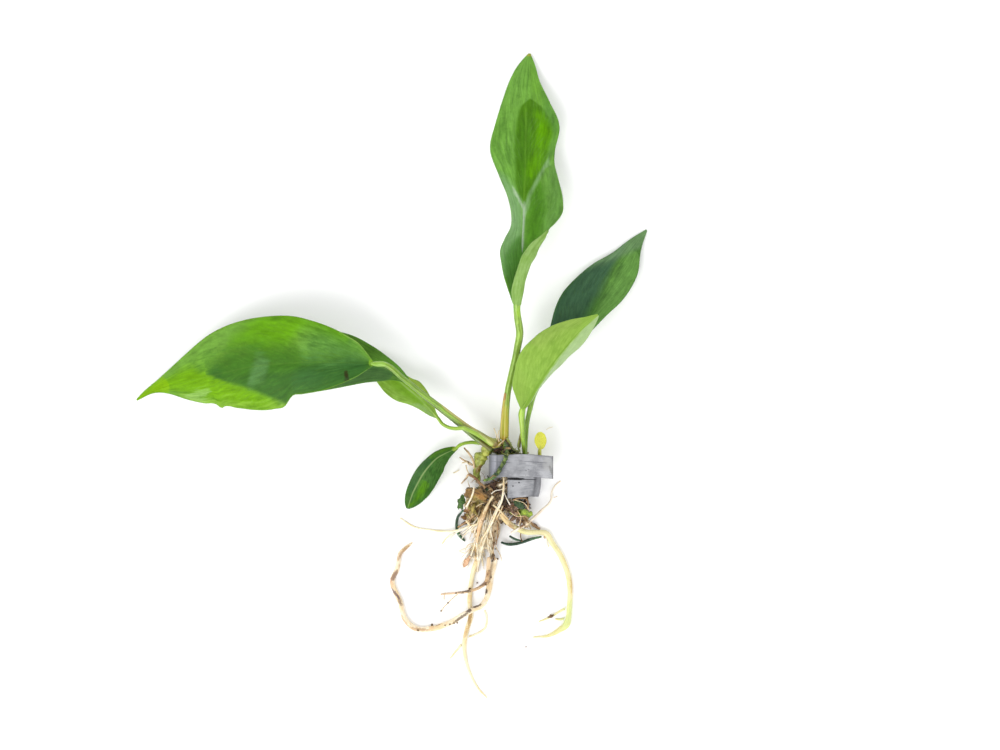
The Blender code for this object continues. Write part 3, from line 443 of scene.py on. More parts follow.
@dataclass(frozen=True)
class LeafFinish:
    """One face of a leaf blade.

    light and dark are the colours between which the blade varies, and glow is what shines through it.
    """

    name: str
    light: Colour
    dark: Colour
    glow: Colour
    glow_share: float = 0.22
    midrib: Colour = (0.32, 0.50, 0.10)
    midrib_width: float = 0.03
    midrib_share: float = 0.6
    margin: Colour = (0.20, 0.38, 0.05)
    gloss: float = 0.34
    shine: float = 0.06
    veins: float = 30.0
    vein_slope: float = 9.0
    vein_tint: float = 0.12
    vein_depth: float = 0.04
    mottling: float = 1.0
    patches: tuple[Patch, ...] = ()

    def _mask(self, paint: Paint, patch: Patch, along: Value, across: Value, streak: Value) -> Value:
        """How much of a patch shows at a place.

        Args:
            paint: The material.
            patch: The patch.
            along: Share along the blade.
            across: Share across it.
            streak: Noise that makes the edge ragged.

        Returns:
            0 outside the patch, up to its strength inside.
        """
        first, last = patch.outline[0], patch.outline[-1]
        reach = min(0.03, 0.4 * (last[0] - first[0]))
        closed = [
            (row[0] + step, *[0.5 * (row[1] + row[2]) + end * 2 * patch.soft for end in (1, -1)])
            for row, step in ((first, -reach), (last, reach))
        ]
        rows = (closed[0], *patch.outline, closed[1])
        low = paint.curve(along, [(row[0], row[1]) for row in rows])
        high = paint.curve(along, [(row[0], row[2]) for row in rows])
        inside = (across - low).least(high - across) + (streak - 0.5) * patch.ragged
        return inside.between(-patch.soft, patch.soft) * patch.strength

    def material(self) -> Material:
        """Paint the face.

        Returns:
            The material.
        """
        paint = Paint(self.name)
        along, side = paint.surface()
        across = side * 2.0 - 1.0
        out = abs(across)
        drift = paint.noise(0.09, 2.0)
        phase = vein_phase(along, out, self.veins, self.vein_slope) + drift * 4.0
        wave = (phase * math.tau).sine() * 0.5 + 0.5
        fine = (phase * (math.tau * 3.3) + drift * 19.0).sine() * 0.5 + 0.5
        here = paint.noise(0.16, 2.0).between(0.42, 0.62)
        vein = (wave**5.0) * here * out.between(0.02, 0.2) * (1.0 - out.between(0.8, 1.0))
        grain = paint.noise(1.6, 5.0, 0.62)
        broad = paint.noise(0.05, 3.0, 0.5)
        streaked = paint.vector(along * 11.0 - out * 4.5, across * 8.0 + along * 2.5)
        streak = paint.noise(1.0, 4.0, 0.6, streaked)
        mottle = paint.noise(0.34, 5.0, 0.66, twist=0.3)
        tone = (broad * 0.9 + streak * 0.8 + mottle * 0.5 - 0.6).between(0.25, 0.75)
        colour = paint.mix(self.dark, self.light, tone)
        relief = vein * 0.5 + fine * here * 0.15 * out.between(0.05, 0.3) + grain * 0.2
        for patch in self.patches:
            colour = paint.mix(colour, patch.colour, self._mask(paint, patch, along, across, streak))
        colour = paint.mix(colour, self.midrib, vein * self.vein_tint + (fine**3.0) * here * 0.05)
        dashed = paint.vector(along * 40.0 - out * 15.0, across * 9.0 + along * 4.0 + mottle * 2.0)
        dash = paint.noise(1.0, 4.0, 0.65, dashed)
        uneven = (streak - 0.5) * 1.1 + (dash - 0.5) * 0.8 + (mottle - 0.5) * 0.5 + (grain - 0.5) * 0.35
        level = 1.0 + uneven * self.mottling
        colour = paint.node("VectorMath", {"operation": "SCALE"}, {0: colour, "Scale": level}).outputs[0]
        colour = paint.mix(colour, self.light, (1.0 - dash.between(0.3, 0.42)) * (0.3 * self.mottling))
        rib = 1.0 - out.between(self.midrib_width * 0.3, self.midrib_width)
        colour = paint.mix(colour, self.midrib, rib * self.midrib_share)
        colour = paint.mix(colour, self.margin, out.between(0.955, 1.0) * 0.7)
        relief = relief + rib * self.midrib_share * 0.6
        rough = self.gloss + (grain - 0.5) * 0.15 + (streak - 0.5) * 0.2 + vein * 0.05
        shader = paint.principled(colour, rough, relief, self.vein_depth, {"Specular IOR Level": self.shine})
        through = paint.node("BsdfTranslucent", None, {"Color": self.glow}).outputs[0]
        both = paint.node("MixShader", None, {0: self.glow_share, 1: shader, 2: through})
        return paint.finish(both.outputs[0])


@dataclass(frozen=True)
class StalkFinish:
    """A juicy green stalk or rhizome: fine lines along it, brown patches, and its sides painted darker as
    shade.
    """

    name: str
    light: Colour
    dark: Colour
    patch: Colour
    patch_share: float = 0.3
    low_end: Colour | None = None
    gloss: float = 0.32
    lines: float = 7.0
    relief: float = 0.05
    flesh: float = 0.25
    side_shade: float = 0.6
    spots: tuple[tuple, ...] = ()

    def material(self) -> Material:
        """Paint the stalk.

        Returns:
            The material.
        """
        paint = Paint(self.name)
        along, around = paint.surface()
        wander = paint.noise(0.35, 3.0)
        lines = ((around * self.lines + wander * 1.5) * math.tau).sine() * 0.5 + 0.5
        broad = paint.noise(0.18, 4.0, 0.6)
        grain = paint.noise(3.5, 4.0, 0.65)
        colour = paint.mix(self.dark, self.light, (broad * 0.9 + lines * 0.25 - 0.15).between(0.2, 0.7))
        if self.low_end:
            colour = paint.mix(colour, self.low_end, (along + (broad - 0.5) * 0.3).between(0.62, 0.95))
        # Painted shade: the strand's sides darker than its top.
        side = abs((around * math.tau + math.pi / 2).sine())
        colour = paint.mix(colour, self.dark, (side + (wander - 0.5) * 0.4).between(0.5, 0.95) * self.side_shade)
        spots = (paint.noise(0.45, 5.0, 0.65, twist=0.6) + (grain - 0.5) * 0.3).between(0.56, 0.68)
        colour = paint.mix(colour, self.patch, spots * self.patch_share)
        colour = paint.spotted(colour, self.spots, (wander - 0.5) * 0.9 + (grain - 0.5) * 0.8)
        rough = self.gloss + (grain - 0.5) * 0.2 + spots * 0.2
        relief = lines * 0.35 + grain * 0.5 + spots * 0.3
        flesh = fleshy(self.flesh, (1.0, 1.0, 0.3), 0.6)
        return paint.finish(paint.principled(colour, rough, relief, self.relief, flesh))


@dataclass(frozen=True)
class RootFinish:
    """A root: its flesh, a second tone, and dark old patches with a crust of dirt."""

    name: str
    light: Colour
    dark: Colour
    patch: Colour
    patch_low: float = 0.58
    patch_share: float = 0.8
    gloss: float = 0.42
    relief: float = 0.07
    flesh: float = 0.15
    spots: tuple[tuple, ...] = ()

    def material(self) -> Material:
        """Paint the root.

        Returns:
            The material.
        """
        paint = Paint(self.name)
        broad = paint.noise(0.16, 4.0, 0.6)
        grain = paint.noise(2.6, 5.0, 0.65)
        colour = paint.mix(self.dark, self.light, (broad + (grain - 0.5) * 0.4).between(0.38, 0.6))
        old = paint.noise(0.42, 6.0, 0.72, twist=0.4)
        crust = (old + (grain - 0.5) * 0.25).between(self.patch_low, self.patch_low + 0.07)
        colour = paint.mix(colour, self.patch, crust * self.patch_share)
        colour = paint.spotted(colour, self.spots, (old - 0.5) * 1.6 + (grain - 0.5) * 2.4)
        rough = self.gloss + crust * 0.3 + (grain - 0.5) * 0.2
        relief = grain * 0.6 + crust * 0.7 + broad * 0.4
        flesh = fleshy(self.flesh, (1.0, 0.7, 0.35), 0.5)
        return paint.finish(paint.principled(colour, rough, relief, self.relief, flesh))


@dataclass(frozen=True)
class DirtFinish:
    """A matted crust of dirt, dead roots and moss in patches of four colours."""

    name: str
    base: Colour
    pale: Colour
    deep: Colour
    moss: Colour
    moss_share: float = 0.5
    relief: float = 0.35
    spots: tuple[tuple, ...] = ()

    def material(self) -> Material:
        """Paint the crust.

        Returns:
            The material.
        """
        paint = Paint(self.name)
        lumps = paint.noise(0.5, 6.0, 0.7, twist=0.7)
        fine = paint.noise(3.2, 5.0, 0.7)
        patch = paint.noise(0.16, 3.0, 0.5)
        colour = paint.mix(self.base, self.pale, (lumps + (fine - 0.5) * 0.6).between(0.5, 0.68))
        colour = paint.spotted(colour, self.spots, (lumps - 0.5) * 1.6 + (fine - 0.5) * 0.8)
        colour = paint.mix(colour, self.deep, (patch + (fine - 0.5) * 0.5).between(0.5, 0.62) * 0.6)
        colour = paint.mix(colour, self.pale, (fine * 0.7 + lumps * 0.5).between(0.68, 0.78) * 0.5)
        green = (paint.noise(0.22, 4.0, 0.6, twist=0.3) + (fine - 0.5) * 0.3).between(0.56, 0.66)
        colour = paint.mix(colour, self.moss, green * self.moss_share)
        rough = 0.75 + (fine - 0.5) * 0.3
        return paint.finish(paint.principled(colour, rough, lumps * 0.8 + fine * 0.6, self.relief))


@dataclass(frozen=True)
class ScrapFinish:
    """A rotting shred of leaf: mottled, veined, darker at its edge."""

    name: str
    light: Colour
    dark: Colour
    edge: Colour
    relief: float = 0.18
    spots: tuple[tuple, ...] = ()

    def material(self) -> Material:
        """Paint the shred.

        Returns:
            The material.
        """
        paint = Paint(self.name)
        along, side = paint.surface()
        out = abs(side * 2.0 - 1.0)
        mottle = paint.noise(0.7, 6.0, 0.75, twist=0.5)
        fine = paint.noise(3.0, 4.0, 0.6)
        veins = ((along * 9.0 - out * 2.5 + mottle * 1.5) * math.tau).sine() * 0.5 + 0.5
        colour = paint.mix(self.dark, self.light, (mottle + (veins - 0.5) * 0.12).between(0.42, 0.6))
        colour = paint.spotted(colour, self.spots, (mottle - 0.5) * 2.0 + (fine - 0.5) * 1.2)
        colour = paint.mix(colour, self.edge, (out + (fine - 0.5) * 0.9).between(0.55, 1.0) * 0.8)
        colour = paint.mix(colour, self.edge, paint.noise(1.3, 4.0, 0.7).between(0.53, 0.62) * 0.6)
        rough = 0.5 + (fine - 0.5) * 0.3
        relief = veins * 0.4 + mottle * 0.5 + fine * 0.4
        return paint.finish(paint.principled(colour, rough, relief, self.relief))


@dataclass(frozen=True)
class LeadFinish:
    """Soft lead: a dull blue-grey skin with long scratches, small dents and dark oxide in the pits."""

    name: str = "dull_soft_lead"
    light: Colour = (0.42, 0.425, 0.44)
    dark: Colour = (0.25, 0.255, 0.27)
    bright: Colour = (0.58, 0.58, 0.59)
    oxide: Colour = (0.07, 0.07, 0.075)
    shade: Colour = (0.12, 0.122, 0.13)
    metal: float = 0.72
    relief: float = 0.1
    folds: tuple[Pair, ...] = ((0.305, 0.4), (0.765, 0.85))
    spots: tuple[tuple, ...] = ()

    def material(self) -> Material:
        """Paint the lead.

        Returns:
            The material.
        """
        paint = Paint(self.name)
        along, across = paint.surface()
        drift = paint.noise(0.12, 2.0)
        drawn = paint.noise(1.0, 5.0, 0.72, paint.vector(along * 16.0, across * 17.0 + drift * 2.0))
        hair = paint.noise(1.0, 3.0, 0.75, paint.vector(along * 40.0 + drift * 3.0, across * 60.0))
        ridges = paint.noise(1.0, 3.0, 0.7, paint.vector(along * 150.0, across * 2.0)).between(0.35, 0.6)
        edge = abs(across * 2.0 - 1.0) + (hair - 0.5) * 0.06
        cloud = paint.noise(0.22, 4.0, 0.6)
        pits = (1.0 - paint.cells(0.7).between(0.10, 0.24)) * paint.noise(0.3, 2.0).between(0.5, 0.62)
        colour = paint.mix(self.dark, self.light, (cloud * 1.2 + drawn * 0.7 - 0.45).between(0.3, 0.7))
        colour = paint.mix(colour, self.bright, hair.between(0.54, 0.66) * 0.6)
        colour = paint.mix(colour, self.oxide, (pits * 0.7).most(drawn.between(0.6, 0.7) * 0.4))
        # Painted shade: the bends darker than the flat runs.
        for low, high in self.folds:
            fold = along.between(low, low + 0.025) * (1.0 - along.between(high - 0.01, high + 0.01))
            colour = paint.mix(colour, self.shade, fold * (0.9 - ridges * 0.25))
        colour = paint.mix(colour, self.oxide, edge.between(0.955, 0.99) * 0.7)
        ends = abs(along * 2.0 - 1.0) + (cloud - 0.5) * 0.006
        colour = paint.mix(colour, self.oxide, ends.between(0.985, 0.995) * 0.6)
        colour = paint.spotted(colour, self.spots, (drawn - 0.5) * 0.8)
        rough = 0.46 + (cloud - 0.5) * 0.3 - hair.between(0.58, 0.7) * 0.1
        relief = drawn * 0.55 + hair * 0.22 - pits * 0.8 + cloud * 0.3
        metal = {"Metallic": self.metal - pits * 0.4}
        return paint.finish(paint.principled(colour, rough, relief, self.relief, metal))


@dataclass(frozen=True)
class FloorFinish:
    """The plain pale surface that the plant lies on."""

    name: str = "pale_surface"
    colour: Colour = (0.93, 0.93, 0.925)

    def material(self) -> Material:
        """Paint the surface.

        Returns:
            The material.
        """
        paint = Paint(self.name)
        shader = paint.node("BsdfPrincipled", None, {"Base Color": self.colour, "Roughness": 0.6})
        return paint.finish(shader.outputs[0])


# Shapes


def in_world(point: Sequence[float]) -> Vector:
    """Place in the world, in metres, of a point given in millimetres from the crown."""
    return Vector((point[0] + CROWN[0], point[1] + CROWN[1], point[2] + CROWN[2])) * MM


def through(knots: np.ndarray, values: np.ndarray, places: np.ndarray) -> np.ndarray:
    """Read a smooth curve.

    Args:
        knots: Where the curve's values are given, rising.
        values: The values there, a row for each knot.
        places: Where to read the curve.

    Returns:
        The values at the places, a row for each.
    """
    values = np.asarray(values, float).reshape(len(knots), -1)
    slopes = np.gradient(values, knots, axis=0)
    spans = np.clip(np.searchsorted(knots, places, side="right") - 1, 0, len(knots) - 2)
    width = (knots[spans + 1] - knots[spans])[:, None]
    t = (places - knots[spans])[:, None] / width
    start = (2 * t**3 - 3 * t**2 + 1) * values[spans] + (t**3 - 2 * t**2 + t) * width * slopes[spans]
    end = (3 * t**2 - 2 * t**3) * values[spans + 1] + (t**3 - t**2) * width * slopes[spans + 1]
    return start + end


def distances(points: np.ndarray) -> np.ndarray:
    """Distance of each point along the line that the points make."""
    steps = np.linalg.norm(np.diff(points[:, :3], axis=0), axis=1)
    return np.concatenate([[0.0], np.cumsum(steps)])


def waves(x: float, y: float, z: float, per_mm: float, seed: float = 0.0) -> float:
    """Smooth noise from -1 to 1 at a point in millimetres."""
    return noise.noise(Vector((x * per_mm + seed, y * per_mm - seed, z * per_mm + 0.37 * seed)))


def own_object(name: str, body: BMesh) -> Object:
    """Turn a bmesh into an object at the origin.

    Args:
        name: The object's name.
        body: The bmesh, which is freed.

    Returns:
        The object, shaded smooth.
    """
    mesh = bpy.data.meshes.new(name)
    body.to_mesh(mesh)
    body.free()
    mesh.shade_smooth()
    made = bpy.data.objects.new(name, mesh)
    bpy.context.scene.collection.objects.link(made)
    return made


def evaluated_body(piece: Object) -> BMesh:
    """What a guide object comes out as with its bevel or modifiers.

    Args:
        piece: The guide, which is removed.

    Returns:
        The bmesh.
    """
    bpy.context.view_layer.update()
    mesh = bpy.data.meshes.new_from_object(piece.evaluated_get(bpy.context.evaluated_depsgraph_get()))
    body = bmesh.new()
    body.from_mesh(mesh)
    bpy.data.objects.remove(piece)
    return body


def sheet_body(rows: int, columns: int, place: Place, sides: Place | None = None) -> BMesh:
    """A grid laid over a surface, with a UV map.

    Args:
        rows: Faces along u.
        columns: Faces along v.
        place: The surface point, in millimetres from the crown, for each u and v from 0 to 1.
        sides: The UV for each u and v, or None where they are the UV.

    Returns:
        The bmesh.
    """
    body = bmesh.new()
    chart = body.loops.layers.uv.new("UVMap")
    bmesh.ops.create_grid(body, x_segments=rows, y_segments=columns, size=0.5)
    for face in body.faces:
        for loop in face.loops:
            u, v = loop.vert.co.x + 0.5, loop.vert.co.y + 0.5
            loop[chart].uv = sides(u, v) if sides else (u, v)
    for vert in body.verts:
        vert.co = in_world(place(vert.co.x + 0.5, vert.co.y + 0.5))
    return body


def round_body(
    route: np.ndarray,
    sides: int,
    lumps: Callable[[float, float], float],
    squash: Pair = (1.0, 1.0),
) -> BMesh:
    """A round strand with rounded ends, closed.

    Args:
        route: Its middle line, rows of x, y, z and radius in millimetres.
        sides: Faces round it.
        lumps: Factor on the radius for a distance along it and an angle.
        squash: Factors on the radius sideways and upwards.

    Returns:
        The bmesh, its UV map running along the strand and round it.
    """
    along = distances(route)
    ahead = np.gradient(route[:, :3], axis=0)
    ahead /= np.linalg.norm(ahead, axis=1)[:, None]
    across = np.cross(ahead[0], (0.0, 0.0, 1.0) if abs(ahead[0][2]) < 0.9 else (1.0, 0.0, 0.0))
    frames = []
    for direction in ahead:
        across = across - direction * (across @ direction)
        across /= np.linalg.norm(across)
        frames.append((across, np.cross(direction, across)))
    rings = len(route) - 1

    def place(u: float, v: float) -> np.ndarray:
        """Point at u along the strand and v round it."""
        row = round(u * rings)
        angle = math.tau * (v % 1.0)
        side, up = frames[row]
        radius = route[row, 3] * lumps(along[row], angle)
        wide, high = math.cos(angle) * squash[0], math.sin(angle) * squash[1]
        return route[row, :3] + radius * (wide * side + high * up)

    body = sheet_body(rings, sides, place, lambda u, v: (along[round(u * rings)] / along[-1], v))
    bmesh.ops.remove_doubles(body, verts=body.verts, dist=TIP_WELD)
    bmesh.ops.recalc_face_normals(body, faces=body.faces)
    return body


def rounded_route(route: Sequence[Sequence[float]], step: float) -> np.ndarray:
    """Fine points along a smooth route, closing to a point at both ends.

    Args:
        route: Points of the middle line with the radius at each.
        step: Distance between the fine points, in millimetres.

    Returns:
        Rows of x, y, z and radius.
    """
    coarse = np.array(route, float)
    knots = distances(coarse)
    total = knots[-1]
    ends = (coarse[0, 3], coarse[-1, 3])
    first = ends[0] * np.array([0.0, 0.06, 0.25, 0.6])
    last = total - ends[1] * np.array([0.6, 0.25, 0.06, 0.0])
    count = max(4, int((total - sum(ends)) / step))
    places = np.concatenate([first, np.linspace(ends[0], total - ends[1], count), last])
    fine = through(knots, coarse, places)
    closing = np.minimum(places / ends[0], (total - places) / ends[1]).clip(0.0, 1.0)
    fine[:, 3] = fine[:, 3].clip(0.08) * np.sqrt(1.0 - (1.0 - closing) ** 2)
    return fine


def thread_object(name: str, threads: Sequence[np.ndarray], sides: int = 6) -> Object:
    """Many thin threads as one mesh.

    Args:
        name: The object's name.
        threads: Routes, each rows of x, y, z and radius in millimetres.
        sides: Faces round each thread, an even number from 4.

    Returns:
        The object.
    """
    curve = bpy.data.curves.new(name, "CURVE")
    curve.dimensions = "3D"
    curve.bevel_depth = MM
    curve.bevel_resolution = (sides - 4) // 2
    curve.use_fill_caps = True
    for route in threads:
        spline = curve.splines.new("POLY")
        spline.points.add(len(route) - 1)
        for control, (x, y, z, radius) in zip(spline.points, route):
            control.co = (*in_world((x, y, z)), 1.0)
            control.radius = radius
    guide = bpy.data.objects.new(name + "_guide", curve)
    bpy.context.scene.collection.objects.link(guide)
    body = evaluated_body(guide)
    bmesh.ops.remove_doubles(body, verts=body.verts, dist=WELD)
    bmesh.ops.recalc_face_normals(body, faces=body.faces)
    return own_object(name, body)


def solidify(piece: Object, thickness: float, offset: float) -> SolidifyModifier:
    """Give an open sheet its thickness in millimetres.

    Args:
        piece: The sheet.
        thickness: Its thickness.
        offset: -1 to 1: the side of the sheet that it grows to.

    Returns:
        The modifier.
    """
    modifier = piece.modifiers.new("Thickness", "SOLIDIFY")
    modifier.thickness = thickness * MM
    modifier.offset = offset
    return modifier


def dress(
    piece: Object, slot: Slot, *materials: Material, stands_for: Sequence[str] = ()
) -> None:
    """Give a finished piece its materials and its place in the model.

    Args:
        piece: The piece.
        slot: The record's material slot. Not used.
        materials: Its materials in order.
        stands_for: The fixed solids that it takes the place of.
    """
    piece.data.materials.clear()
    for material in materials:
        piece.data.materials.append(material)
    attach(piece, BODY)
    for node in stands_for:
        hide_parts(node)
    log.info("%s: %d faces", piece.name, len(piece.data.polygons))


# Leaves


class Edge(NamedTuple):
    """One side of a leaf at a share of its length: how far the margin lies from the midrib and above it.

    bulge lifts the middle of the half blade, and fold is how far it reaches beyond its own margin
    where it folds over. The leaves hold what it takes as plain rows.
    """

    at: float
    reach: float
    rise: float
    bulge: float = 0.0
    fold: float = 0.0


@dataclass(frozen=True)
class LeafBlade:
    """A leaf blade, its midrib running from base to tip.

    steady is the share of the length over which its direction is taken, and fading says how soon the
    ripples die out towards base and tip.
    """

    node: str
    midrib: tuple[Point, ...]
    left: tuple[Row, ...]
    right: tuple[Row, ...]
    face: LeafFinish
    back: LeafFinish
    slot: Slot
    ridge_up: bool = False
    rows: int = 110
    columns: int = 44
    thickness: float = 0.5
    rib_thickness: float = 1.25
    rib_width: float = 0.6
    rib_end: float = 0.9
    ripple: float = 0.03
    swell: float = 0.25
    swells_per_mm: float = 0.11
    steady: float = 0.02
    fading: float = 12.0

    def _shares(self) -> np.ndarray:
        """Shares of the length for the rows, closer together near the base and the tip."""
        u = np.linspace(0.0, 1.0, self.rows + 1)
        return 0.5 * u + 0.25 * (1 - np.cos(np.pi * u))

    def build(self) -> Object:
        """Model the blade.

        Returns:
            The blade with its thickness as a modifier.
        """
        midrib = np.array(self.midrib, float)
        knots = distances(midrib)
        length = knots[-1]
        shares = self._shares()
        here = through(knots, midrib, shares * length)
        ahead = through(knots, midrib, np.minimum(shares + self.steady, 1.0) * length)
        behind = through(knots, midrib, np.maximum(shares - self.steady, 0.0) * length)
        run = (ahead - behind)[:, :2]
        run /= np.linalg.norm(run, axis=1)[:, None]
        tables = {}
        for sign, table in ((-1, self.left), (1, self.right)):
            edges = np.array([Edge(*row) for row in table], float)
            tables[sign] = through(edges[:, 0], edges[:, 1:], shares)
        flip = -1 if self.ridge_up else 1
        seed = own_seed(self.node, 97)

        def place(u: float, v: float) -> Point:
            """Point at u along the blade and v across it."""
            row = round(u * self.rows)
            across = flip * (1 - 2 * v)
            sign = -1 if across < 0 else 1
            side = np.array([-run[row][1], run[row][0]]) * -sign
            offset, height = self._half_section(tables[sign][row], abs(across))
            x, y = here[row][:2] + side * offset
            phase = vein_phase(shares[row], abs(across), self.face.veins, self.face.vein_slope)
            vein = math.sin(math.tau * phase)
            inner = min(1.0, 5 * abs(across)) * (1 - abs(across) ** 3)
            ends = min(1.0, self.fading * shares[row], self.fading * (1 - shares[row]))
            height += self.ripple * vein * inner * ends * flip
            swell = self.swell * waves(x, y, 0.0, self.swells_per_mm, seed)
            height += swell * ends * min(1.0, 4 * abs(across))
            return x, y, here[row][2] + height

        def sides(u: float, v: float) -> Pair:
            """UV of that point, the midrib at 0.5."""
            return shares[round(u * self.rows)], 0.5 + 0.5 * flip * (1 - 2 * v)

        piece = own_object(self.node + "_blade", sheet_body(self.rows, self.columns, place, sides))
        self._thicken(piece, shares, {flip * sign: abs(tables[sign][:, 0]) for sign in (-1, 1)})
        dress(piece, self.slot, self.face.material(), self.back.material(), stands_for=[self.node])
        return piece

    def _thicken(self, piece: Object, shares: np.ndarray, reaches: dict[int, np.ndarray]) -> None:
        """Give the blade its thickness and the raised midrib.

        Args:
            piece: The open blade.
            shares: Share of the length at each row.
            reaches: How far the margin lies from the midrib at each row, on both sides.
        """
        rib = piece.vertex_groups.new(name="rib")
        middle = self.columns // 2
        for index in range(len(piece.data.vertices)):
            column, row = divmod(index, self.rows + 1)
            sign = 1 if column <= middle else -1
            reach = reaches[sign][row] * abs(column - middle) / middle
            fade = max(0.0, 1.0 - shares[row] / self.rib_end) ** 0.5
            weight = fade * math.exp(-((reach / self.rib_width) ** 2))
            if weight > LEAST_WEIGHT:
                rib.add([index], weight, "REPLACE")
        modifier = solidify(piece, self.rib_thickness, -1.0)
        modifier.vertex_group = rib.name
        modifier.thickness_vertex_group = self.thickness / self.rib_thickness
        modifier.material_offset = 1
        modifier.material_offset_rim = 0

    @staticmethod
    def _half_section(edge: np.ndarray, share: float) -> Pair:
        """Section of half a blade.

        Args:
            edge: Reach, rise, bulge and fold of its margin.
            share: How far from the midrib towards the margin.

        Returns:
            Offset from the midrib and height above it.
        """
        reach, rise, bulge, fold = edge
        near = (reach / 3 + 0.95 * fold, rise / 6 + bulge * 0.7)
        far = (2 * reach / 3 + 1.35 * fold, 2 * rise / 3 + bulge + 0.35 * fold)
        weights = (3 * share * (1 - share) ** 2, 3 * share**2 * (1 - share), share**3)
        offset = weights[0] * near[0] + weights[1] * far[0] + weights[2] * reach
        height = weights[0] * near[1] + weights[1] * far[1] + weights[2] * rise
        return offset, height


# Stalks, roots and strands


@dataclass(frozen=True)
class Strand:
    """A stalk, root or other round strand: points of its middle line with the radius at each."""

    node: str
    route: tuple[Row, ...]
    finish: StalkFinish | RootFinish
    slot: Slot
    sides: int = 14
    step: float = 0.7
    lumps: float = 0.06
    lump_length: float = 2.2
    rings: float = 0.0
    squash: Pair = (1.0, 1.0)

    def build(self) -> Object:
        """Model the strand.

        Returns:
            The strand.
        """
        seed = own_seed(self.node, 89)

        def lump(along: float, angle: float) -> float:
            """Factor on the radius at a distance along and an angle round."""
            cos, sin = math.cos(angle), math.sin(angle)
            swell = noise.noise(Vector((cos * 0.7, sin * 0.7 + seed, along / self.lump_length)))
            small = noise.noise(Vector((cos * 1.8, sin * 1.8 - seed, along * 2.4 / self.lump_length)))
            scar = math.sin(along * self.rings * math.tau + 0.6 * swell) ** 6 if self.rings else 0.0
            return 1.0 + self.lumps * (1.2 * swell + 0.7 * small) + 0.10 * scar

        body = round_body(rounded_route(self.route, self.step), self.sides, lump, self.squash)
        piece = own_object(self.node + "_strand", body)
        dress(piece, self.slot, self.finish.material(), stands_for=[self.node])
        return piece


def strand(node: str, finish: StalkFinish | RootFinish, slot: Slot, *route: Row, **form: Any) -> Strand:
    """Strand whose route is given point by point, with what differs in its form."""
    return Strand(node, route, finish, slot, **form)


# The root tangle


class Ground:
    """What a thin thread lies on: the tangle's core, the thick roots and the surface below."""

    def __init__(self, pieces: Sequence[Object]) -> None:
        """Gather the faces of the pieces.

        Args:
            pieces: What carries the threads and crumbs.
        """
        points: list[Vector] = []
        faces: list[tuple[int, ...]] = []
        for piece in pieces:
            start = len(points)
            points.extend(vert.co.copy() for vert in piece.data.vertices)
            faces.extend(tuple(start + i for i in face.vertices) for face in piece.data.polygons)
        self.tree = BVHTree.FromPolygons(points, faces)

    def height(self, x: float, y: float) -> float:
        """Height in millimetres of the ground at a place given from the crown."""
        hit = self.tree.ray_cast(in_world((x, y, LOOKOUT)), Vector((0.0, 0.0, -1.0)))[0]
        return hit.z / MM if hit else 0.0


@dataclass(frozen=True)
class Fibres:
    """Thin roots strewn along a line of the tangle.

    spine gives points x, y and half the width of the strewn band. The lengths and radii are in
    millimetres and the angles in degrees. carry is the share of a turn that the next step keeps, taper
    the share of the radius lost at the ends, and sag how far a thread may hang between two points.
    """

    name: str
    spine: tuple[Point, ...]
    count: int
    finish: RootFinish
    slot: Slot
    length: Pair = (6.0, 14.0)
    radius: Pair = (0.09, 0.2)
    spread: float = 25.0
    wander: float = 14.0
    lift: Pair = (0.0, 0.9)
    step: float = 1.1
    carry: float = 0.6
    clearance: float = 0.05
    taper: float = 0.55
    sag: float = 0.1
    seed: int = 1
    extra: tuple[tuple[Row, ...], ...] = ()

    def _strewn(self, ground: Ground, dice: np.random.Generator) -> np.ndarray:
        """One thread, laid on the ground.

        Args:
            ground: What carries it.
            dice: The seeded draws.

        Returns:
            Its middle line, rows of x, y, z and radius in millimetres.
        """
        spine = np.array(self.spine, float)
        knots = distances(np.column_stack([spine[:, :2], np.zeros(len(spine))]))
        start = dice.uniform(0.0, knots[-1])
        x, y, width = through(knots, spine, np.array([start]))[0]
        ahead = through(knots, spine, np.array([min(start + 1.0, knots[-1])]))[0][:2]
        behind = through(knots, spine, np.array([max(start - 1.0, 0.0)]))[0][:2]
        heading = math.atan2(*(ahead - behind)[::-1]) + math.radians(dice.normal(0.0, self.spread))
        off = dice.normal(0.0, 0.5) * width
        x, y = x - math.sin(heading) * off, y + math.cos(heading) * off
        total = dice.uniform(*self.length)
        count = max(5, int(total / self.step))
        turn = 0.0
        radius = dice.uniform(*self.radius)
        lift = dice.uniform(*self.lift)
        rows = []
        for step in range(count):
            turn = self.carry * turn + math.radians(dice.normal(0.0, self.wander))
            heading += turn
            x += math.cos(heading) * total / count
            y += math.sin(heading) * total / count
            share = step / (count - 1)
            hump = lift * math.sin(math.pi * share)
            taper = 1.0 - self.taper * abs(2 * share - 1) ** 2
            rows.append((x, y, ground.height(x, y) + radius + self.clearance + hump, radius * taper))
        route = np.array(rows)
        level = route[:, 2].copy()
        for _ in range(3):
            level[1:-1] = np.maximum(level[1:-1], 0.5 * (level[:-2] + level[2:]) - self.sag)
        route[:, 2] = level
        return route

    def build(self, ground: Ground) -> Object:
        """Model all the threads as one mesh.

        Args:
            ground: What they lie on.

        Returns:
            The mesh object.
        """
        dice = np.random.default_rng(self.seed)
        threads = [self._strewn(ground, dice) for _ in range(self.count)]
        for route in self.extra:
            coarse = np.array(route, float)
            knots = distances(coarse)
            fine = through(knots, coarse, np.linspace(0.0, knots[-1], 4 * len(coarse)))
            for row in fine:
                row[2] = max(row[2], ground.height(row[0], row[1]) + row[3])
            threads.append(fine)
        piece = thread_object(self.name, threads)
        dress(piece, self.slot, self.finish.material())
        return piece


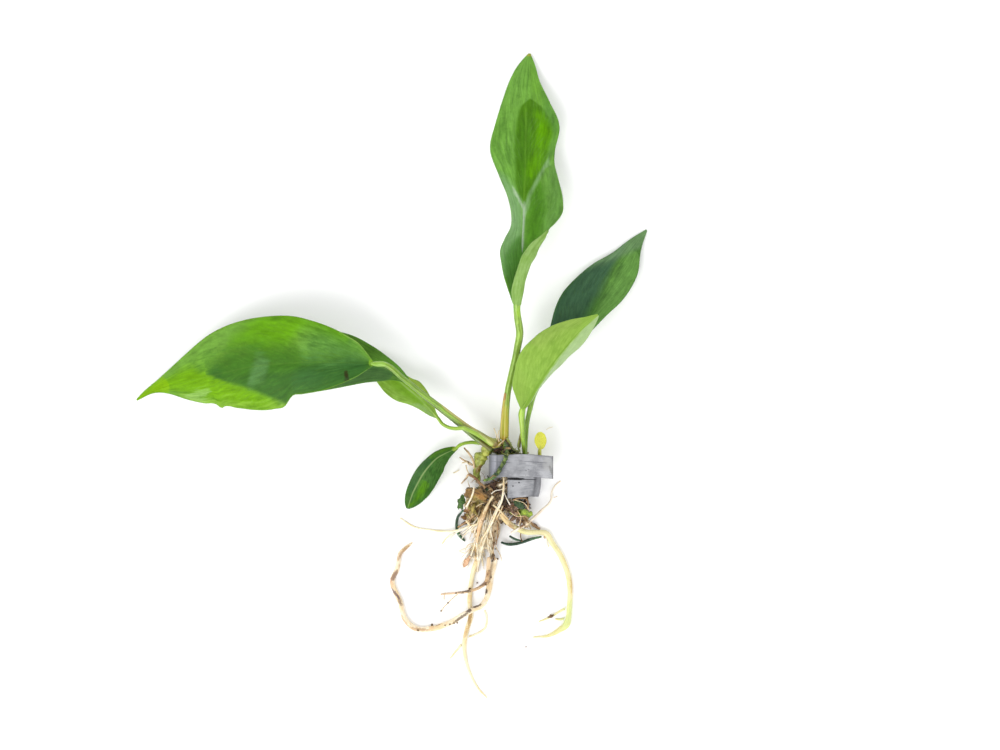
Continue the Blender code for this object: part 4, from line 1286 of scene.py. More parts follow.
@dataclass(frozen=True)
class TangleCore:
    """The matted middle of the root tangle, lumpy with dirt."""

    node: str = "root_clump"
    grain: float = 0.42
    lump: float = 0.8
    fine_lump: float = 0.45
    ridge: float = 0.25
    sink: float = 1.1
    lowest: float = 0.15

    def build(self, finish: DirtFinish) -> Object:
        """Model the core over the solid of its form.

        Args:
            finish: Its crust.

        Returns:
            The core.
        """
        body = bmesh.new()
        body.from_mesh(frame["nodes"][self.node].data)
        bmesh.ops.remove_doubles(body, verts=body.verts, dist=WELD)
        rough = own_object("tangle_form", body)
        modifier = rough.modifiers.new("Even faces", "REMESH")
        modifier.mode = "VOXEL"
        modifier.voxel_size = self.grain * MM
        body = evaluated_body(rough)
        every_way = {"use_axis_x": True, "use_axis_y": True, "use_axis_z": True}
        bmesh.ops.smooth_vert(body, verts=body.verts, factor=0.5, **every_way)
        body.normal_update()
        for vert in body.verts:
            x, y, z = vert.co / MM
            swell = self.lump * waves(x, y, z, 0.33) + self.fine_lump * waves(x, y, z, 1.0, 5.0)
            swell += self.ridge * abs(waves(x, y, z, 2.1, 9.0))
            vert.co += vert.normal * (swell - self.sink) * MM
            vert.co.z = max(vert.co.z, self.lowest * MM)
        bmesh.ops.recalc_face_normals(body, faces=body.faces)
        piece = own_object("root_tangle_core", body)
        dress(piece, Slot.CLUMP, finish.material(), stands_for=[self.node])
        return piece


# Shreds of leaf


@dataclass(frozen=True)
class Shred:
    """A shred of dead or torn leaf: its middle, its half sizes, its turn about Z, its arch and its tilt."""

    node: str
    middle: Point
    half_length: float
    half_width: float
    turn: float
    arch: float
    tilt: float
    finish: ScrapFinish
    slot: Slot
    rows: int = 26
    columns: int = 14
    crumple: float = 0.45
    thickness: float = 0.3

    def body(self) -> BMesh:
        """The shred as an open sheet with a ragged outline.

        Returns:
            The bmesh, with a UV map.
        """
        cos, sin = math.cos(math.radians(self.turn)), math.sin(math.radians(self.turn))
        slope = math.tan(math.radians(self.tilt))
        seed = own_seed(self.node, 83)
        x, y, z = self.middle

        def place(u: float, v: float) -> Point:
            """Point at u along the shred and v across it."""
            ragged = 1.0 + 0.45 * waves(4.0 * u, 9.0 * round(v), 0.0, 1.3, seed)
            ragged += 0.3 * waves(9.0 * u, 9.0 * round(v), 0.0, 1.3, seed + 5.0)
            nick = 1.0 + 0.3 * waves(9.0 * round(u), 5.0 * v, 0.0, 1.3, seed)
            along = (2 * u - 1) * self.half_length * nick
            taper = (1 - 0.5 * (2 * u - 1) ** 2) * ragged
            across = (2 * v - 1) * self.half_width * taper
            lift = self.arch * (1 - (2 * u - 1) ** 2) + slope * along
            lift += self.crumple * waves(along, across, 0.0, 0.55, seed)
            lift += 0.4 * self.crumple * waves(along, across, 0.0, 1.4, seed)
            return x + cos * along - sin * across, y + sin * along + cos * across, z + lift

        return sheet_body(self.rows, self.columns, place)

    def build(self) -> Object:
        """Model the shred with its thickness.

        Returns:
            The shred.
        """
        piece = own_object(self.node + "_shred", self.body())
        solidify(piece, self.thickness, 0.0)
        dress(piece, self.slot, self.finish.material(), stands_for=[self.node])
        return piece


@dataclass(frozen=True)
class Litter:
    """Small shreds of rotten leaf strewn over a stretch of the tangle, as one mesh."""

    name: str
    low: Pair
    high: Pair
    count: int
    finish: ScrapFinish
    slot: Slot
    size: Pair = (0.7, 1.9)
    lift: float = 0.25
    steep: float = 35.0
    narrow: Pair = (0.25, 0.6)
    arch: float = 0.4
    crumple: float = 0.5
    thickness: float = 0.22
    lowest: float = 0.3
    seed: int = 3
    places: tuple[Point, ...] = ()

    def build(self, ground: Ground) -> Object:
        """Model all the shreds.

        Args:
            ground: What they lie on.

        Returns:
            The mesh object.
        """
        dice = np.random.default_rng(self.seed)
        body = bmesh.new()
        strewn = [(*dice.uniform(self.low, self.high), dice.uniform(*self.size)) for _ in range(self.count)]
        for index, (x, y, half) in enumerate((*strewn, *self.places)):
            shred = Shred(
                f"{self.name}_{index}",
                (x, y, ground.height(x, y) + self.lift),
                half,
                half * dice.uniform(*self.narrow),
                dice.uniform(0.0, 360.0),
                dice.uniform(0.0, self.arch) * half,
                dice.uniform(-self.steep, self.steep),
                self.finish,
                self.slot,
                rows=9,
                columns=6,
                crumple=self.crumple,
            )
            part = shred.body()
            mesh = bpy.data.meshes.new("shred")
            part.to_mesh(mesh)
            part.free()
            body.from_mesh(mesh)
            bpy.data.meshes.remove(mesh)
        for vert in body.verts:
            vert.co.z = max(vert.co.z, self.lowest * MM)
        piece = own_object(self.name, body)
        solidify(piece, self.thickness, 0.0)
        dress(piece, self.slot, self.finish.material())
        return piece


@dataclass(frozen=True)
class Crumbs:
    """Grains of dirt strewn over a stretch, as one mesh."""

    name: str
    low: Pair
    high: Pair
    count: int
    size: Pair = (0.15, 0.5)
    squash: Pair = (0.6, 1.2)
    bump: float = 0.35
    raised: float = 0.6
    lowest: float = 0.05
    seed: int = 5
    places: tuple[Point, ...] = ()

    def build(self, ground: Ground, finish: DirtFinish) -> Object:
        """Model all the grains.

        Args:
            ground: What they lie on.
            finish: Their crust.

        Returns:
            The mesh object.
        """
        dice = np.random.default_rng(self.seed)
        body = bmesh.new()
        spots = [(*dice.uniform(self.low, self.high), dice.uniform(*self.size)) for _ in range(self.count)]
        for x, y, radius in (*spots, *self.places):
            made = bmesh.ops.create_icosphere(body, subdivisions=1, radius=radius * MM)
            middle = in_world((x, y, ground.height(x, y) + self.raised * radius))
            squash = dice.uniform(*self.squash, 3)
            for vert in made["verts"]:
                bump = 1.0 + self.bump * noise.noise(vert.co / (radius * MM) * 1.4 + Vector((x, y, 0.0)))
                vert.co = Vector(vert.co[i] * squash[i] * bump for i in range(3)) + middle
                vert.co.z = max(vert.co.z, self.lowest * MM)
        bmesh.ops.recalc_face_normals(body, faces=body.faces)
        piece = own_object(self.name, body)
        dress(piece, Slot.CLUMP, finish.material())
        return piece


# The lead strip


@dataclass(frozen=True)
class LeadStrip:
    """The strip weight: flat on the surface below the root neck, bent up both sides and over it."""

    finish: LeadFinish
    node: str = "lead_strip_weight"
    width: float = 7.8
    thickness: float = 1.2
    bend_radius: float = 2.1
    left: float = -3.25
    right: float = 13.8
    upper_end: float = 18.4
    lower_end: float = 2.6
    upper_top: float = 11.4
    lower_top: float = 10.0
    upper_y: float = -5.4
    upper_end_y: float = -5.8
    upper_bow: float = 0.5
    lower_y: float = -12.0
    lower_end_y: float = -12.7
    corner: float = 0.9
    bend_steps: int = 12
    columns: int = 14
    dent: float = 0.16
    edge: float = 0.22

    def _bend(self, x: float, z: float, start: float, end: float) -> list[Pair]:
        """Points of a bend between two angles in degrees, without its first."""
        angles = np.radians(np.linspace(start, end, self.bend_steps + 1)[1:])
        return [(x + self.bend_radius * math.cos(a), z + self.bend_radius * math.sin(a)) for a in angles]

    def _path(self) -> list[tuple[float, float, float, float]]:
        """Middle line from the upper end: x, y, z and how far the lower edge is pulled in.

        Returns:
            The points, in millimetres from the crown.
        """
        r = self.bend_radius
        left, right = self.left + r, self.right - r
        floor = 0.5 * self.thickness + r
        path = []
        for t in np.linspace(0.0, 1.0, 40):
            x = self.upper_end + (left - self.upper_end) * t
            y = self.upper_end_y + (self.upper_y - self.upper_end_y) * t
            path.append((x, y + self.upper_bow * math.sin(math.pi * t), self.upper_top, 0.0))
        for x, z in self._bend(left, self.upper_top - r, 90, 180) + self._bend(left, floor, 180, 270):
            path.append((x, self.upper_y, z, 0.0))
        for t in np.linspace(0.0, 1.0, 24)[1:]:
            eased = t * t * (3 - 2 * t)
            y = self.upper_y + (self.lower_y - self.upper_y) * eased
            path.append((left + (right - left) * t, y, 0.5 * self.thickness, self.corner * eased))
        for x, z in self._bend(right, floor, -90, 0) + self._bend(right, self.lower_top - r, 0, 90):
            path.append((x, self.lower_y, z, self.corner))
        for t in np.linspace(0.0, 1.0, 20)[1:]:
            y = self.lower_y + (self.lower_end_y - self.lower_y) * t
            x = right + (self.lower_end - right) * t
            path.append((x, y, self.lower_top, self.corner * (1 - t)))
        return path

    def build(self) -> Object:
        """Model the strip.

        Returns:
            The strip, its thickness and rounded edges as modifiers.
        """
        path = self._path()
        steps = len(path) - 1

        def place(u: float, v: float) -> Point:
            """Point at u along the strip and v across it."""
            x, y, z, corner = path[round(u * steps)]
            across = self.width * (0.5 - v)
            x -= corner * v**3
            y += across + 0.12 * waves(x, z, 0.0, 0.16, 3.0)
            dent = self.dent * waves(x, y, z, 0.22, 7.0) + 0.4 * self.dent * waves(x, y, z, 0.7, 2.0)
            if z < self.thickness:
                dent = max(dent, 0.0) * 0.3
            return x, y, z + dent

        piece = own_object(self.node + "_bent", sheet_body(steps, self.columns, place))
        solidify(piece, self.thickness, 0.0)
        bevel = piece.modifiers.new("Worn edges", "BEVEL")
        bevel.width = self.edge * MM
        bevel.segments = 3
        bevel.profile = 0.5
        bevel.limit_method = "ANGLE"
        bevel.angle_limit = math.radians(45)
        dress(piece, Slot.LEAD, self.finish.material(), stands_for=[self.node])
        return piece


# Finishes of this plant


def patch(code: str, *outline: Point, strength: float = 0.8, soft: float = 0.2, ragged: float = 0.3) -> Patch:
    """Leaf patch in the colour of an sRGB code."""
    return Patch(outline, code, strength, soft, ragged)


LARGE_FACE = LeafFinish(
    "large_leaf_upper_face", "7cae3e", "5e9436", "7cb414", midrib="7fae48", midrib_share=0.12,
    margin="7fb030", veins=26,
    patches=(
        # Painted sheen: greyer green near the right margin.
        patch(
            "78aa46", (0.45, 0.75, 1.1), (0.55, 0.5, 1.1), (0.65, 0.55, 1.1), (0.8, 0.65, 1.1),
            (0.9, 0.5, 1.1),
        ),
        # Painted light: saturated yellow-green where light from below shines through the left half towards
        # the tip.
        patch(
            "76ad0c", (0.4, -1.1, -0.75), (0.5, -1.1, -0.5), (0.6, -0.95, -0.15), (0.7, -0.8, 0.2),
            (0.8, -0.6, 0.55), (0.9, -0.4, 0.5), (0.93, -0.2, 0.2), strength=0.95, soft=0.25,
        ),
        patch("8abd1a", (0.88, -0.9, 0.9), (0.95, -0.9, 0.9), (1, -0.9, 0.9), strength=0.9, soft=0.3),
        # Painted light: saturated yellow-green where light from below shines through the right half.
        patch(
            "6fae16", (0.12, 0.75, 1.1), (0.2, 0.8, 1.1), (0.28, 0.7, 1.1), (0.35, 0.35, 1.1),
            (0.42, 0.3, 1.05), (0.5, 0.45, 0.8), (0.55, 0.5, 0.6), strength=0.85, soft=0.25,
        ),
        # Painted light: more of the light from below shining through the left half.
        patch("7db420", (0.55, -1.1, -0.2), (0.62, -1.1, 0), (0.72, -1, 0), strength=0.4, soft=0.3),
        patch(
            "9ac052", (0.3, -1.1, -0.9), (0.45, -1.1, -0.9), (0.6, -1.1, -0.85), (0.8, -1.1, -0.8),
            strength=0.5, ragged=1,
        ),
        patch(
            "a0c870", (0.7, -0.7, -0.5), (0.74, -0.9, -0.5), (0.78, -0.9, -0.7), strength=0.6, soft=0.15,
            ragged=1,
        ),
        # Painted shade, this patch and the next three: darker greens where the middle leaf lies beneath and
        # holds back the light from below.
        patch(
            "3f6c2e", (0, -0.9, 0), (0.05, -1.1, 0.05), (0.1, -1.1, 0), (0.2, -1.1, -0.1),
            (0.3, -1.1, -0.15), (0.335, -1.02, -0.15), (0.37, -0.86, -0.15), (0.42, -0.72, -0.1),
            (0.5, -0.5, 0.05), (0.6, -0.25, 0.15), (0.65, -0.05, 0.1), strength=0.92, soft=0.08, ragged=0.12,
        ),
        patch(
            "3f6c2e", (0, -0.5, 0.15), (0.05, -0.5, 0.4), (0.12, -0.5, 0.3), (0.22, -0.5, 0.15),
            (0.32, -0.5, 0.12), (0.42, -0.4, 0.2), (0.5, -0.3, 0.3), (0.6, -0.15, 0.35), (0.66, 0, 0.25),
            strength=0.85, soft=0.25, ragged=1.3,
        ),
        patch(
            "4a7a2a", (0.3, -0.2, 0.3), (0.4, -0.2, 0.45), (0.5, -0.3, 0.55), (0.6, -0.1, 0.4), strength=0.8,
            soft=0.35, ragged=0.8,
        ),
        patch("3f6b3a", (0.05, -0.9, 0.1), (0.15, -0.9, 0), (0.3, -0.9, -0.3), strength=0.5, soft=0.3),
        # Painted sheen: greyish green near the base in the right half.
        patch(
            "6a9a58", (0.04, 0.2, 0.7), (0.1, 0.15, 0.65), (0.2, 0.1, 0.7), (0.27, 0.3, 0.5), strength=0.45,
            soft=0.6, ragged=1.2,
        ),
        patch(
            "a5cc6a", (0, 0.93, 1.1), (0.08, 0.95, 1.1), (0.14, 0.98, 1.1), strength=0.9, soft=0.04,
            ragged=0.03,
        ),
        patch(
            "8fb860", (0, -1.1, -0.93), (0.05, -1.1, -0.95), (0.1, -1.1, -0.97), strength=0.7, soft=0.03,
            ragged=0.02,
        ),
        # Painted sheen: a greyish veil across the midrib.
        patch(
            "6f9c62", (0.42, -0.15, 0.15), (0.44, -0.3, 0.2), (0.47, -0.35, 0), (0.5, -0.4, -0.3),
            strength=0.5,
        ),
        patch(
            "3a3222", (0.095, -0.95, -0.8), (0.101, -0.92, -0.42), (0.109, -0.76, -0.38), strength=0.9,
            soft=0.12, ragged=0.7,
        ),
        patch(
            "3f4c34", (0.094, -0.95, -0.8), (0.102, -1, -0.76), (0.11, -0.95, -0.8), strength=0.7, soft=0.12,
            ragged=0.5,
        ),
        patch("92c03c", (0, -0.9, 1), (0.008, -0.6, 0.9), (0.015, -0.3, 0.5), strength=0.8, soft=0.3),
    ),
)
MIDDLE_FACE = LeafFinish(
    "dark_leaf_upper_face", "6b9a3c", "4c7434", "6f9a3a", midrib="86a866", margin="6d9a48",
    patches=(
        patch("486c40", (0.1, -1, 0.1), (0.2, -1, 0.1), (0.35, -1, 0.1), (0.6, -1, 0.2), (0.9, -1, 0.3)),
        patch("5f9036", (0, 0.1, 1.1), (0.1, 0.1, 1.1), (0.35, 0.3, 1.1), strength=0.85, soft=0.3),
    ),
)
LOWER_FACE = LeafFinish(
    "lower_leaf_face", "9cc45a", "86b03e", "93c030", mottling=0.8, midrib="a3c860", midrib_share=0.4,
    margin="9ac04c", veins=22,
    patches=(
        patch(
            "76a828", (0.2, -0.5, -0.05), (0.4, -0.5, 0.1), (0.55, -0.45, 0.1), (0.8, -0.4, 0), soft=0.35,
            ragged=0.9,
        ),
        patch("a2c67c", (0.03, -1.1, -0.3), (0.15, -0.9, -0.3), (0.26, -1.1, -0.8), strength=0.6),
        patch("a0bc50", (0.1, 0.5, 1.1), (0.3, 0.6, 1.1), (0.5, 0.6, 1.1), strength=0.8),
        patch(
            "aacb74", (0, -0.03, 0.06), (0.2, -0.02, 0.04), (0.5, -0.02, 0.02), strength=0.8, soft=0.04,
            ragged=0.04,
        ),
    ),
)
SMALL_FACE = LeafFinish(
    "small_leaf_upper_face", "487634", "386228", "4d7c24", midrib="a3b877", midrib_width=0.09,
    margin="6f9c46", veins=18,
    patches=(
        patch("416b3a", (0.35, 0, 0.8), (0.5, 0, 0.85), (0.7, 0, 0.8), (0.8, 0.1, 0.7)),
        patch(
            "558a1a", (0.6, -0.6, -0.2), (0.75, -0.7, -0.2), (0.9, -0.6, -0.3), (0.97, -0.4, 0.2),
            strength=0.9,
        ),
        patch("568a18", (0.05, 0.4, 0.9), (0.18, 0.4, 0.9), (0.3, 0.5, 0.9)),
        patch("94a53a", (0, -1, 1), (0.02, -1, 1), (0.05, -0.6, 0.6)),
    ),
)
TALL_FACE = LeafFinish(
    "tall_leaf_upper_face", "7ab04a", "699f40", "6fae1e", midrib="8aac74", midrib_share=0.05,
    margin="7cab52", veins=30,
    patches=(
        patch("7cb53e", (0.8, 0.3, 0.8), (0.86, 0.3, 0.9), (0.92, 0.2, 0.8), strength=0.6),
        patch(
            "7ba36e", (0.12, -1.1, -0.6), (0.2, -1.1, -0.3), (0.3, -1.1, -0.1), (0.38, -1.1, -0.15),
            (0.44, -1.1, -0.5), (0.5, -1.1, -0.8), strength=0.75, soft=0.25,
        ),
        patch(
            "4f8236", (0.06, -0.9, -0.2), (0.12, -0.9, -0.1), (0.2, -0.7, 0.1), (0.24, -0.5, 0),
            strength=0.85,
        ),
        patch(
            "4f8527", (0.24, 0.05, 0.2), (0.3, 0.05, 0.5), (0.36, 0.1, 0.6), (0.42, 0.12, 0.55),
            (0.46, 0.3, 0.5), strength=0.85, soft=0.14,
        ),
        patch(
            "6c9d4a", (0.3, 0.6, 1.1), (0.36, 0.6, 1.1), (0.42, 0.6, 1.1), (0.5, 0.7, 1.1), (0.53, 0.8, 1.1),
        ),
        patch(
            "53861f", (0.4, -0.05, 0.1), (0.43, -0.3, 0.2), (0.46, -0.4, 0.35), (0.5, -0.35, 0.5),
            (0.55, -0.3, 0.65), (0.6, -0.3, 0.75), (0.7, -0.3, 0.78), (0.75, -0.26, 0.68),
            (0.775, -0.2, 0.6), (0.788, -0.1, 0.5), strength=0.92, soft=0.07, ragged=0.1,
        ),
        patch(
            "4d7f28", (0.42, -0.2, 0), (0.5, -0.3, 0.05), (0.6, -0.25, 0.1), (0.72, -0.2, 0.1), strength=0.5,
        ),
        patch(
            "67a515", (0.51, 0.1, 0.4), (0.56, 0.2, 0.62), (0.6, 0.25, 0.7), (0.7, 0.3, 0.72),
            (0.74, 0.3, 0.6), strength=0.9, soft=0.18,
        ),
        patch("5f9440", (0.7, 0.72, 1), (0.78, 0.7, 0.98), (0.83, 0.75, 0.95), strength=0.6),
        patch(
            # Painted highlight: this pale line along the midrib and the next one, which bends out into the
            # left half.
            "b8ccb0", (0.22, -0.06, 0), (0.26, -0.09, 0), (0.33, -0.09, 0.02), (0.375, -0.07, 0.05),
            strength=0.85, soft=0.035, ragged=0.04,
        ),
        patch(
            "b0c8a4", (0.37, -0.12, 0.02), (0.39, -0.3, -0.12), (0.41, -0.42, -0.28), (0.44, -0.6, -0.46),
            strength=0.7, soft=0.05, ragged=0.06,
        ),
        patch(
            "6ba02c", (0.4, -0.05, 0.03), (0.5, -0.02, 0.02), (0.65, -0.02, 0.02), (0.76, -0.03, 0.02),
            strength=0.6, soft=0.03, ragged=0.04,
        ),
        # Painted highlight along the crease that runs out across the right half.
        patch(
            "8fb67c", (0.36, 0.02, 0.08), (0.42, 0.1, 0.18), (0.47, 0.26, 0.36), (0.53, 0.55, 0.65),
            (0.56, 0.72, 0.82), strength=0.7, soft=0.06, ragged=0.1,
        ),
        patch("b4b04c", (0.99, -1, 1), (0.995, -1, 1), (1, -1, 1), soft=0.1),
    ),
)
FOLD_BACK = LeafFinish(
    "tall_leaf_underside", "a2c676", "8cb656", "8fb848", mottling=0.6, midrib="b0cc88", margin="9cc070",
    veins=30,
)
PALE_BACK = LeafFinish(
    "leaf_underside", "8fb564", "7da04e", "86b040", midrib="a8c67c", margin="93b868", vein_depth=0.08,
)
FAR_FACE = LeafFinish(
    "far_leaf_upper_face", "628f42", "50793c", "4c7a24", glow_share=0.12, midrib="5d8446", midrib_share=0.1,
    margin="5c8450",
    patches=(
        patch(
            "41614a", (0.2, -1.1, 0), (0.4, -1.1, 0.02), (0.6, -1.1, -0.05), (0.75, -1.1, -0.25),
            (0.88, -1.1, -0.75), strength=0.92, soft=0.22,
        ),
        patch("4a7636", (0.2, 0, 0.5), (0.4, 0, 0.4), (0.55, 0, 0.2), strength=0.8, soft=0.3),
        patch(
            "6b9a4c", (0.45, 0.35, 1.1), (0.6, 0.25, 1.1), (0.75, 0.15, 1.1), (0.85, 0.1, 1.1),
            strength=0.85,
        ),
        patch(
            "76986a", (0.62, -1.3, -1.3), (0.76, -1.2, -0.6), (0.88, -1.1, 0.3), (1, -1.1, 1.1),
            strength=0.7, soft=0.35,
        ),
    ),
)
NEAR_FACE = LeafFinish(
    "near_leaf_upper_face", "6f9a48", "557f38", "7fae30", midrib="8fb35c", margin="7fa84c",
)
NEAR_BACK = LeafFinish(
    "near_leaf_underside", "a0c658", "90ba4c", "94c030", midrib="7aa43a", midrib_width=0.045,
    midrib_share=0.6, margin="a3c46c", veins=20, vein_tint=0.35, mottling=0.45,
    patches=(
        patch("8cb448", (0, -1.1, 1.1), (0.06, -1.1, 1.1), (0.16, -0.9, 0.5), strength=0.7, soft=0.4),
        patch("a2c25c", (0, -1.1, 0), (0.1, -1.1, -0.2), (0.25, -1.1, -0.5), strength=0.4, soft=0.3),
        patch("a4bf60", (0.5, -1.1, -0.6), (0.7, -1.1, -0.5), (0.85, -1.1, -0.4), strength=0.5, soft=0.3),
        patch(
            "b8d49a", (0.1, 0.3, 1.1), (0.3, 0.15, 1.1), (0.5, 0.1, 1.1), (0.7, 0.1, 1.1), (0.9, 0.15, 1.1),
            (1, 0.3, 1.1), strength=0.85, soft=0.12,
        ),
    ),
)
YELLOW_FACE = LeafFinish(
    "dying_yellow_leaf", "e6e660", "d6d64a", "e2e33c", midrib="e9e98a", margin="c9b84a", veins=8,
)
TALL_STALK = StalkFinish(
    "tall_leaf_stalk", "a9cf5c", "7a9a30", "8a7f2a", patch_share=0.15, low_end="a39f22",
    spots=(
        (5.5, 53.5, 2.1, 2.8, 0, "86b446", 0.75), (6.6, 48, 0.9, 2.1, 0, "a0cc3a", 0.7),
        (4.8, 49.4, 0.5, 1.8, 0, "72a83a", 0.6), (2.1, 8.9, 1, 7.7, 4, "b6a828", 0.6),
        (1, 3.3, 1.4, 2.1, 0, "b08a2c", 0.7),
    ),
)
RIGHT_STALK = StalkFinish(
    "right_leaf_stalk", "98c434", "6a9022", "7d8a2c", patch_share=0.2, side_shade=0.4,
    spots=(
        # The first two spots are painted highlights, on the near and the far stalk.
        (7.3, 8.9, 0.7, 6.3, 0, "c0dc60", 0.5), (10.7, 18.3, 0.5, 0.9, 0, "d0e8a0", 0.6),
        (7.3, 0.2, 1.8, 1.8, 0, "7a8a2a", 0.5),
    ),
)
BRIGHT_STALK = StalkFinish(
    "bright_leaf_stalk", "a9cb42", "86a838", "8a9a3a",
    spots=((-2.8, 3.3, 2.1, 1.4, -35, "dcdc88", 0.7), (-5.5, 5.4, 2.4, 1, -30, "ced480", 0.6)),
)
BROWN_STALK = StalkFinish(
    "dark_green_stalk", "8ca650", "566e2c", "6e5c30", patch_share=0.4,
    spots=((-4.9, 2.3, 2.8, 1.8, -35, "7c6c38", 0.7),),
)
LARGE_STALK = StalkFinish(
    "large_leaf_stalk", "94bc3c", "66882e", "9a7c54", low_end="a89460",
    spots=(
        (-42, 30.4, 3.1, 1.4, 0, "90bc44", 0.8), (-14.2, 11.7, 8.4, 0.9, -36, "bcac66", 0.8),
        (-3.5, 3.3, 2.1, 1.8, 0, "b0b848", 0.6),
    ),
)
STALK_YELLOW = StalkFinish("yellow_stalk", "d8dc58", "b5b83c", "a08a3a", patch_share=0.2)
SHEATH_TAN = StalkFinish(
    "dry_leaf_sheath", "a89c5a", "7c7038", "6a4c30", patch_share=0.6, gloss=0.5, lines=9, relief=0.12,
    flesh=0,
)
SHEATH_TALL = StalkFinish(
    "dry_sheath_of_tall_stalk", "c6b84e", "aa9c38", "a8803c", patch_share=0.5, gloss=0.5, lines=9,
    relief=0.12, flesh=0,
    spots=((1.4, 19.7, 1, 2.4, 0, "b07848", 0.7), (0, 13.4, 0.6, 7, -6, "a87c44", 0.5)),
)
RHIZOME_GREEN = StalkFinish(
    "knobbed_rhizome", "bcc654", "8c9638", "7a5e34", patch_share=0.75, lines=5, relief=0.3,
    spots=(
        (-1.7, 2.2, 1.8, 1.4, 0, "d2b93c"), (-4.9, -1.9, 1.4, 1.8, 0, "c8cc62", 0.7),
        (-7.3, -6.5, 1.8, 1, 60, "8a6a30", 0.8), (-7.3, -9.6, 1, 2.1, 0, "b8cc60", 0.7),
        (-7, -12.7, 1, 1.4, 0, "d4e08c", 0.7), (0, -0.2, 2.4, 1.2, -15, "3a2a22", 0.95),
        (3.8, 1.2, 2.1, 2.1, 0, "4a5230", 0.9), (7, -0.5, 2.1, 1.4, 0, "6a5a36", 0.85),
        (9.7, -1.6, 2.8, 1, 0, "8a8a48", 0.7),
    ),
)
ROOT_IVORY = RootFinish("ivory_root", "f7eecb", "e9d7a4", "b98f5c", patch_low=0.62, patch_share=0.7)
ROOT_CENTRE = RootFinish(
    "centre_root", "f6e9bf", "e8cf98", "b98f5c", patch_low=0.64, patch_share=0.6,
    spots=(
        (-10.5, -58.8, 0.7, 3.5, -8, "a8803c", 0.8), (-11.9, -63.7, 0.7, 2.8, -20, "c49a58", 0.7),
        (-12.2, -80.5, 4.9, 14, 0, "f4ecc4", 0.7),
    ),
)
ROOT_PALE = RootFinish("pale_tan_root", "faeeda", "edd6b2", "a87c4e", patch_low=0.6)
FIBRE_CREAM = RootFinish("cream_root", "f8edd2", "e2cb9c", "a8845a", patch_low=0.62, patch_share=0.7)
ROOT_TAN = RootFinish("tan_root", "f4dfb8", "dfc08e", "8a6238")
ROOT_PATCHED = RootFinish(
    "patched_tan_root", "f7e9cc", "e8cfa2", "9a7044", patch_low=0.6,
    spots=(
        (-33.6, -35.7, 3.5, 0.9, 48, "9c6e42", 0.65), (-37.1, -44.1, 2.4, 0.8, 58, "7a4e34", 0.8),
        (-38.1, -47.2, 0.7, 1.8, 0, "d89a60", 0.6), (-36.4, -50.4, 3.1, 0.5, -52, "5e4048", 0.85),
        (-35, -53.2, 1.4, 0.5, -60, "6a4c48", 0.7), (-33.6, -59.8, 2.8, 0.5, -50, "b48450", 0.6),
        (-29, -62.6, 4.5, 0.6, -6, "b08048", 0.65), (-23.8, -62.3, 1, 1, 0, "e8c494", 0.8),
        (-13.6, -58.4, 3.1, 0.5, 35, "5a4630", 0.85), (-10.8, -55.8, 1, 0.9, 20, "4a3426", 0.9),
        (-8.4, -54.4, 1.8, 0.6, 20, "4e3a28", 0.9), (-4.9, -49.2, 0.6, 1, 0, "3c2a24", 0.9),
        (-3.8, -43.7, 0.7, 3.5, -8, "8a6440", 0.6), (-2.4, -37, 0.9, 1.8, 0, "4e3a48", 0.9),
        (-3.1, -31.5, 1, 2.8, 0, "9a7850", 0.7), (-4.5, -41.9, 0.7, 2.4, 0, "6a4834", 0.8),
    ),
)
ROOT_BROWN = RootFinish(
    "brown_root", "e6caa2", "ba9568", "5f4028", patch_low=0.54,
    spots=(
        (-11.9, -48.9, 1.8, 0.7, -5, "4a3426", 0.9), (-5.9, -46.7, 2.1, 0.5, 25, "6a4a34", 0.8),
        (-19.2, -49.9, 4.9, 0.7, 0, "e6c6a4", 0.8),
    ),
)
ROOT_ORANGE = RootFinish(
    "orange_root", "e4c69c", "c6a474", "80583a", patch_low=0.56,
    spots=((-3.8, -17.9, 1.8, 0.9, 60, "9a7450", 0.85), (-7.3, -27.7, 2.4, 0.7, 70, "e4b078", 0.5)),
)
ROOT_YELLOW_GREEN = RootFinish(
    "yellow_green_root", "ece2ac", "dcd48e", "b0904e", patch_low=0.64,
    spots=(
        (1.4, -23.1, 4.5, 2.1, -45, "dcc08c", 0.9), (-0.3, -21, 1.4, 1, 0, "8a6a48", 0.9),
        (3.8, -26.2, 1.4, 0.9, -30, "a07a4c", 0.8), (23.1, -38.4, 0.7, 5.6, 22, "e4c860", 0.6),
        (25.2, -47.2, 0.6, 3.5, 0, "c89a40", 0.6), (25.2, -59.5, 4.2, 7, 0, "d6e294", 0.8),
    ),
)
STRAND_GREEN = RootFinish("dark_green_strand", "3f6f44", "24452e", "152a1c", patch_low=0.5, flesh=0.1)
STRAND_OVER = RootFinish(
    "ragged_green_strand", "7c9c40", "48662c", "263c20", patch_low=0.5, flesh=0, relief=0.3,
    spots=(
        (1, -4.2, 0.5, 3.1, -25, "8a9a4a", 0.5), (-0.7, -7, 1.4, 0.9, 40, "7c8c44", 0.5),
        (-3.5, -9.1, 2.1, 0.7, 10, "3c6c34", 0.7),
    ),
)
FIBRE_PALE = RootFinish("pale_fibre", "fdf6e4", "efdfba", "c8a478", patch_low=0.62)
FIBRE_TAN = RootFinish("tan_fibre", "f0deb4", "d0b07c", "8a6238")
FIBRE_BROWN = RootFinish("brown_fibre", "bc986a", "86623c", "4a3420")
ROOT_OLIVE = RootFinish("olive_thread", "a0a850", "66703a", "5a4426")
FIBRE_DARK = RootFinish("dark_fibre", "6e5a40", "40342a", "221c18")
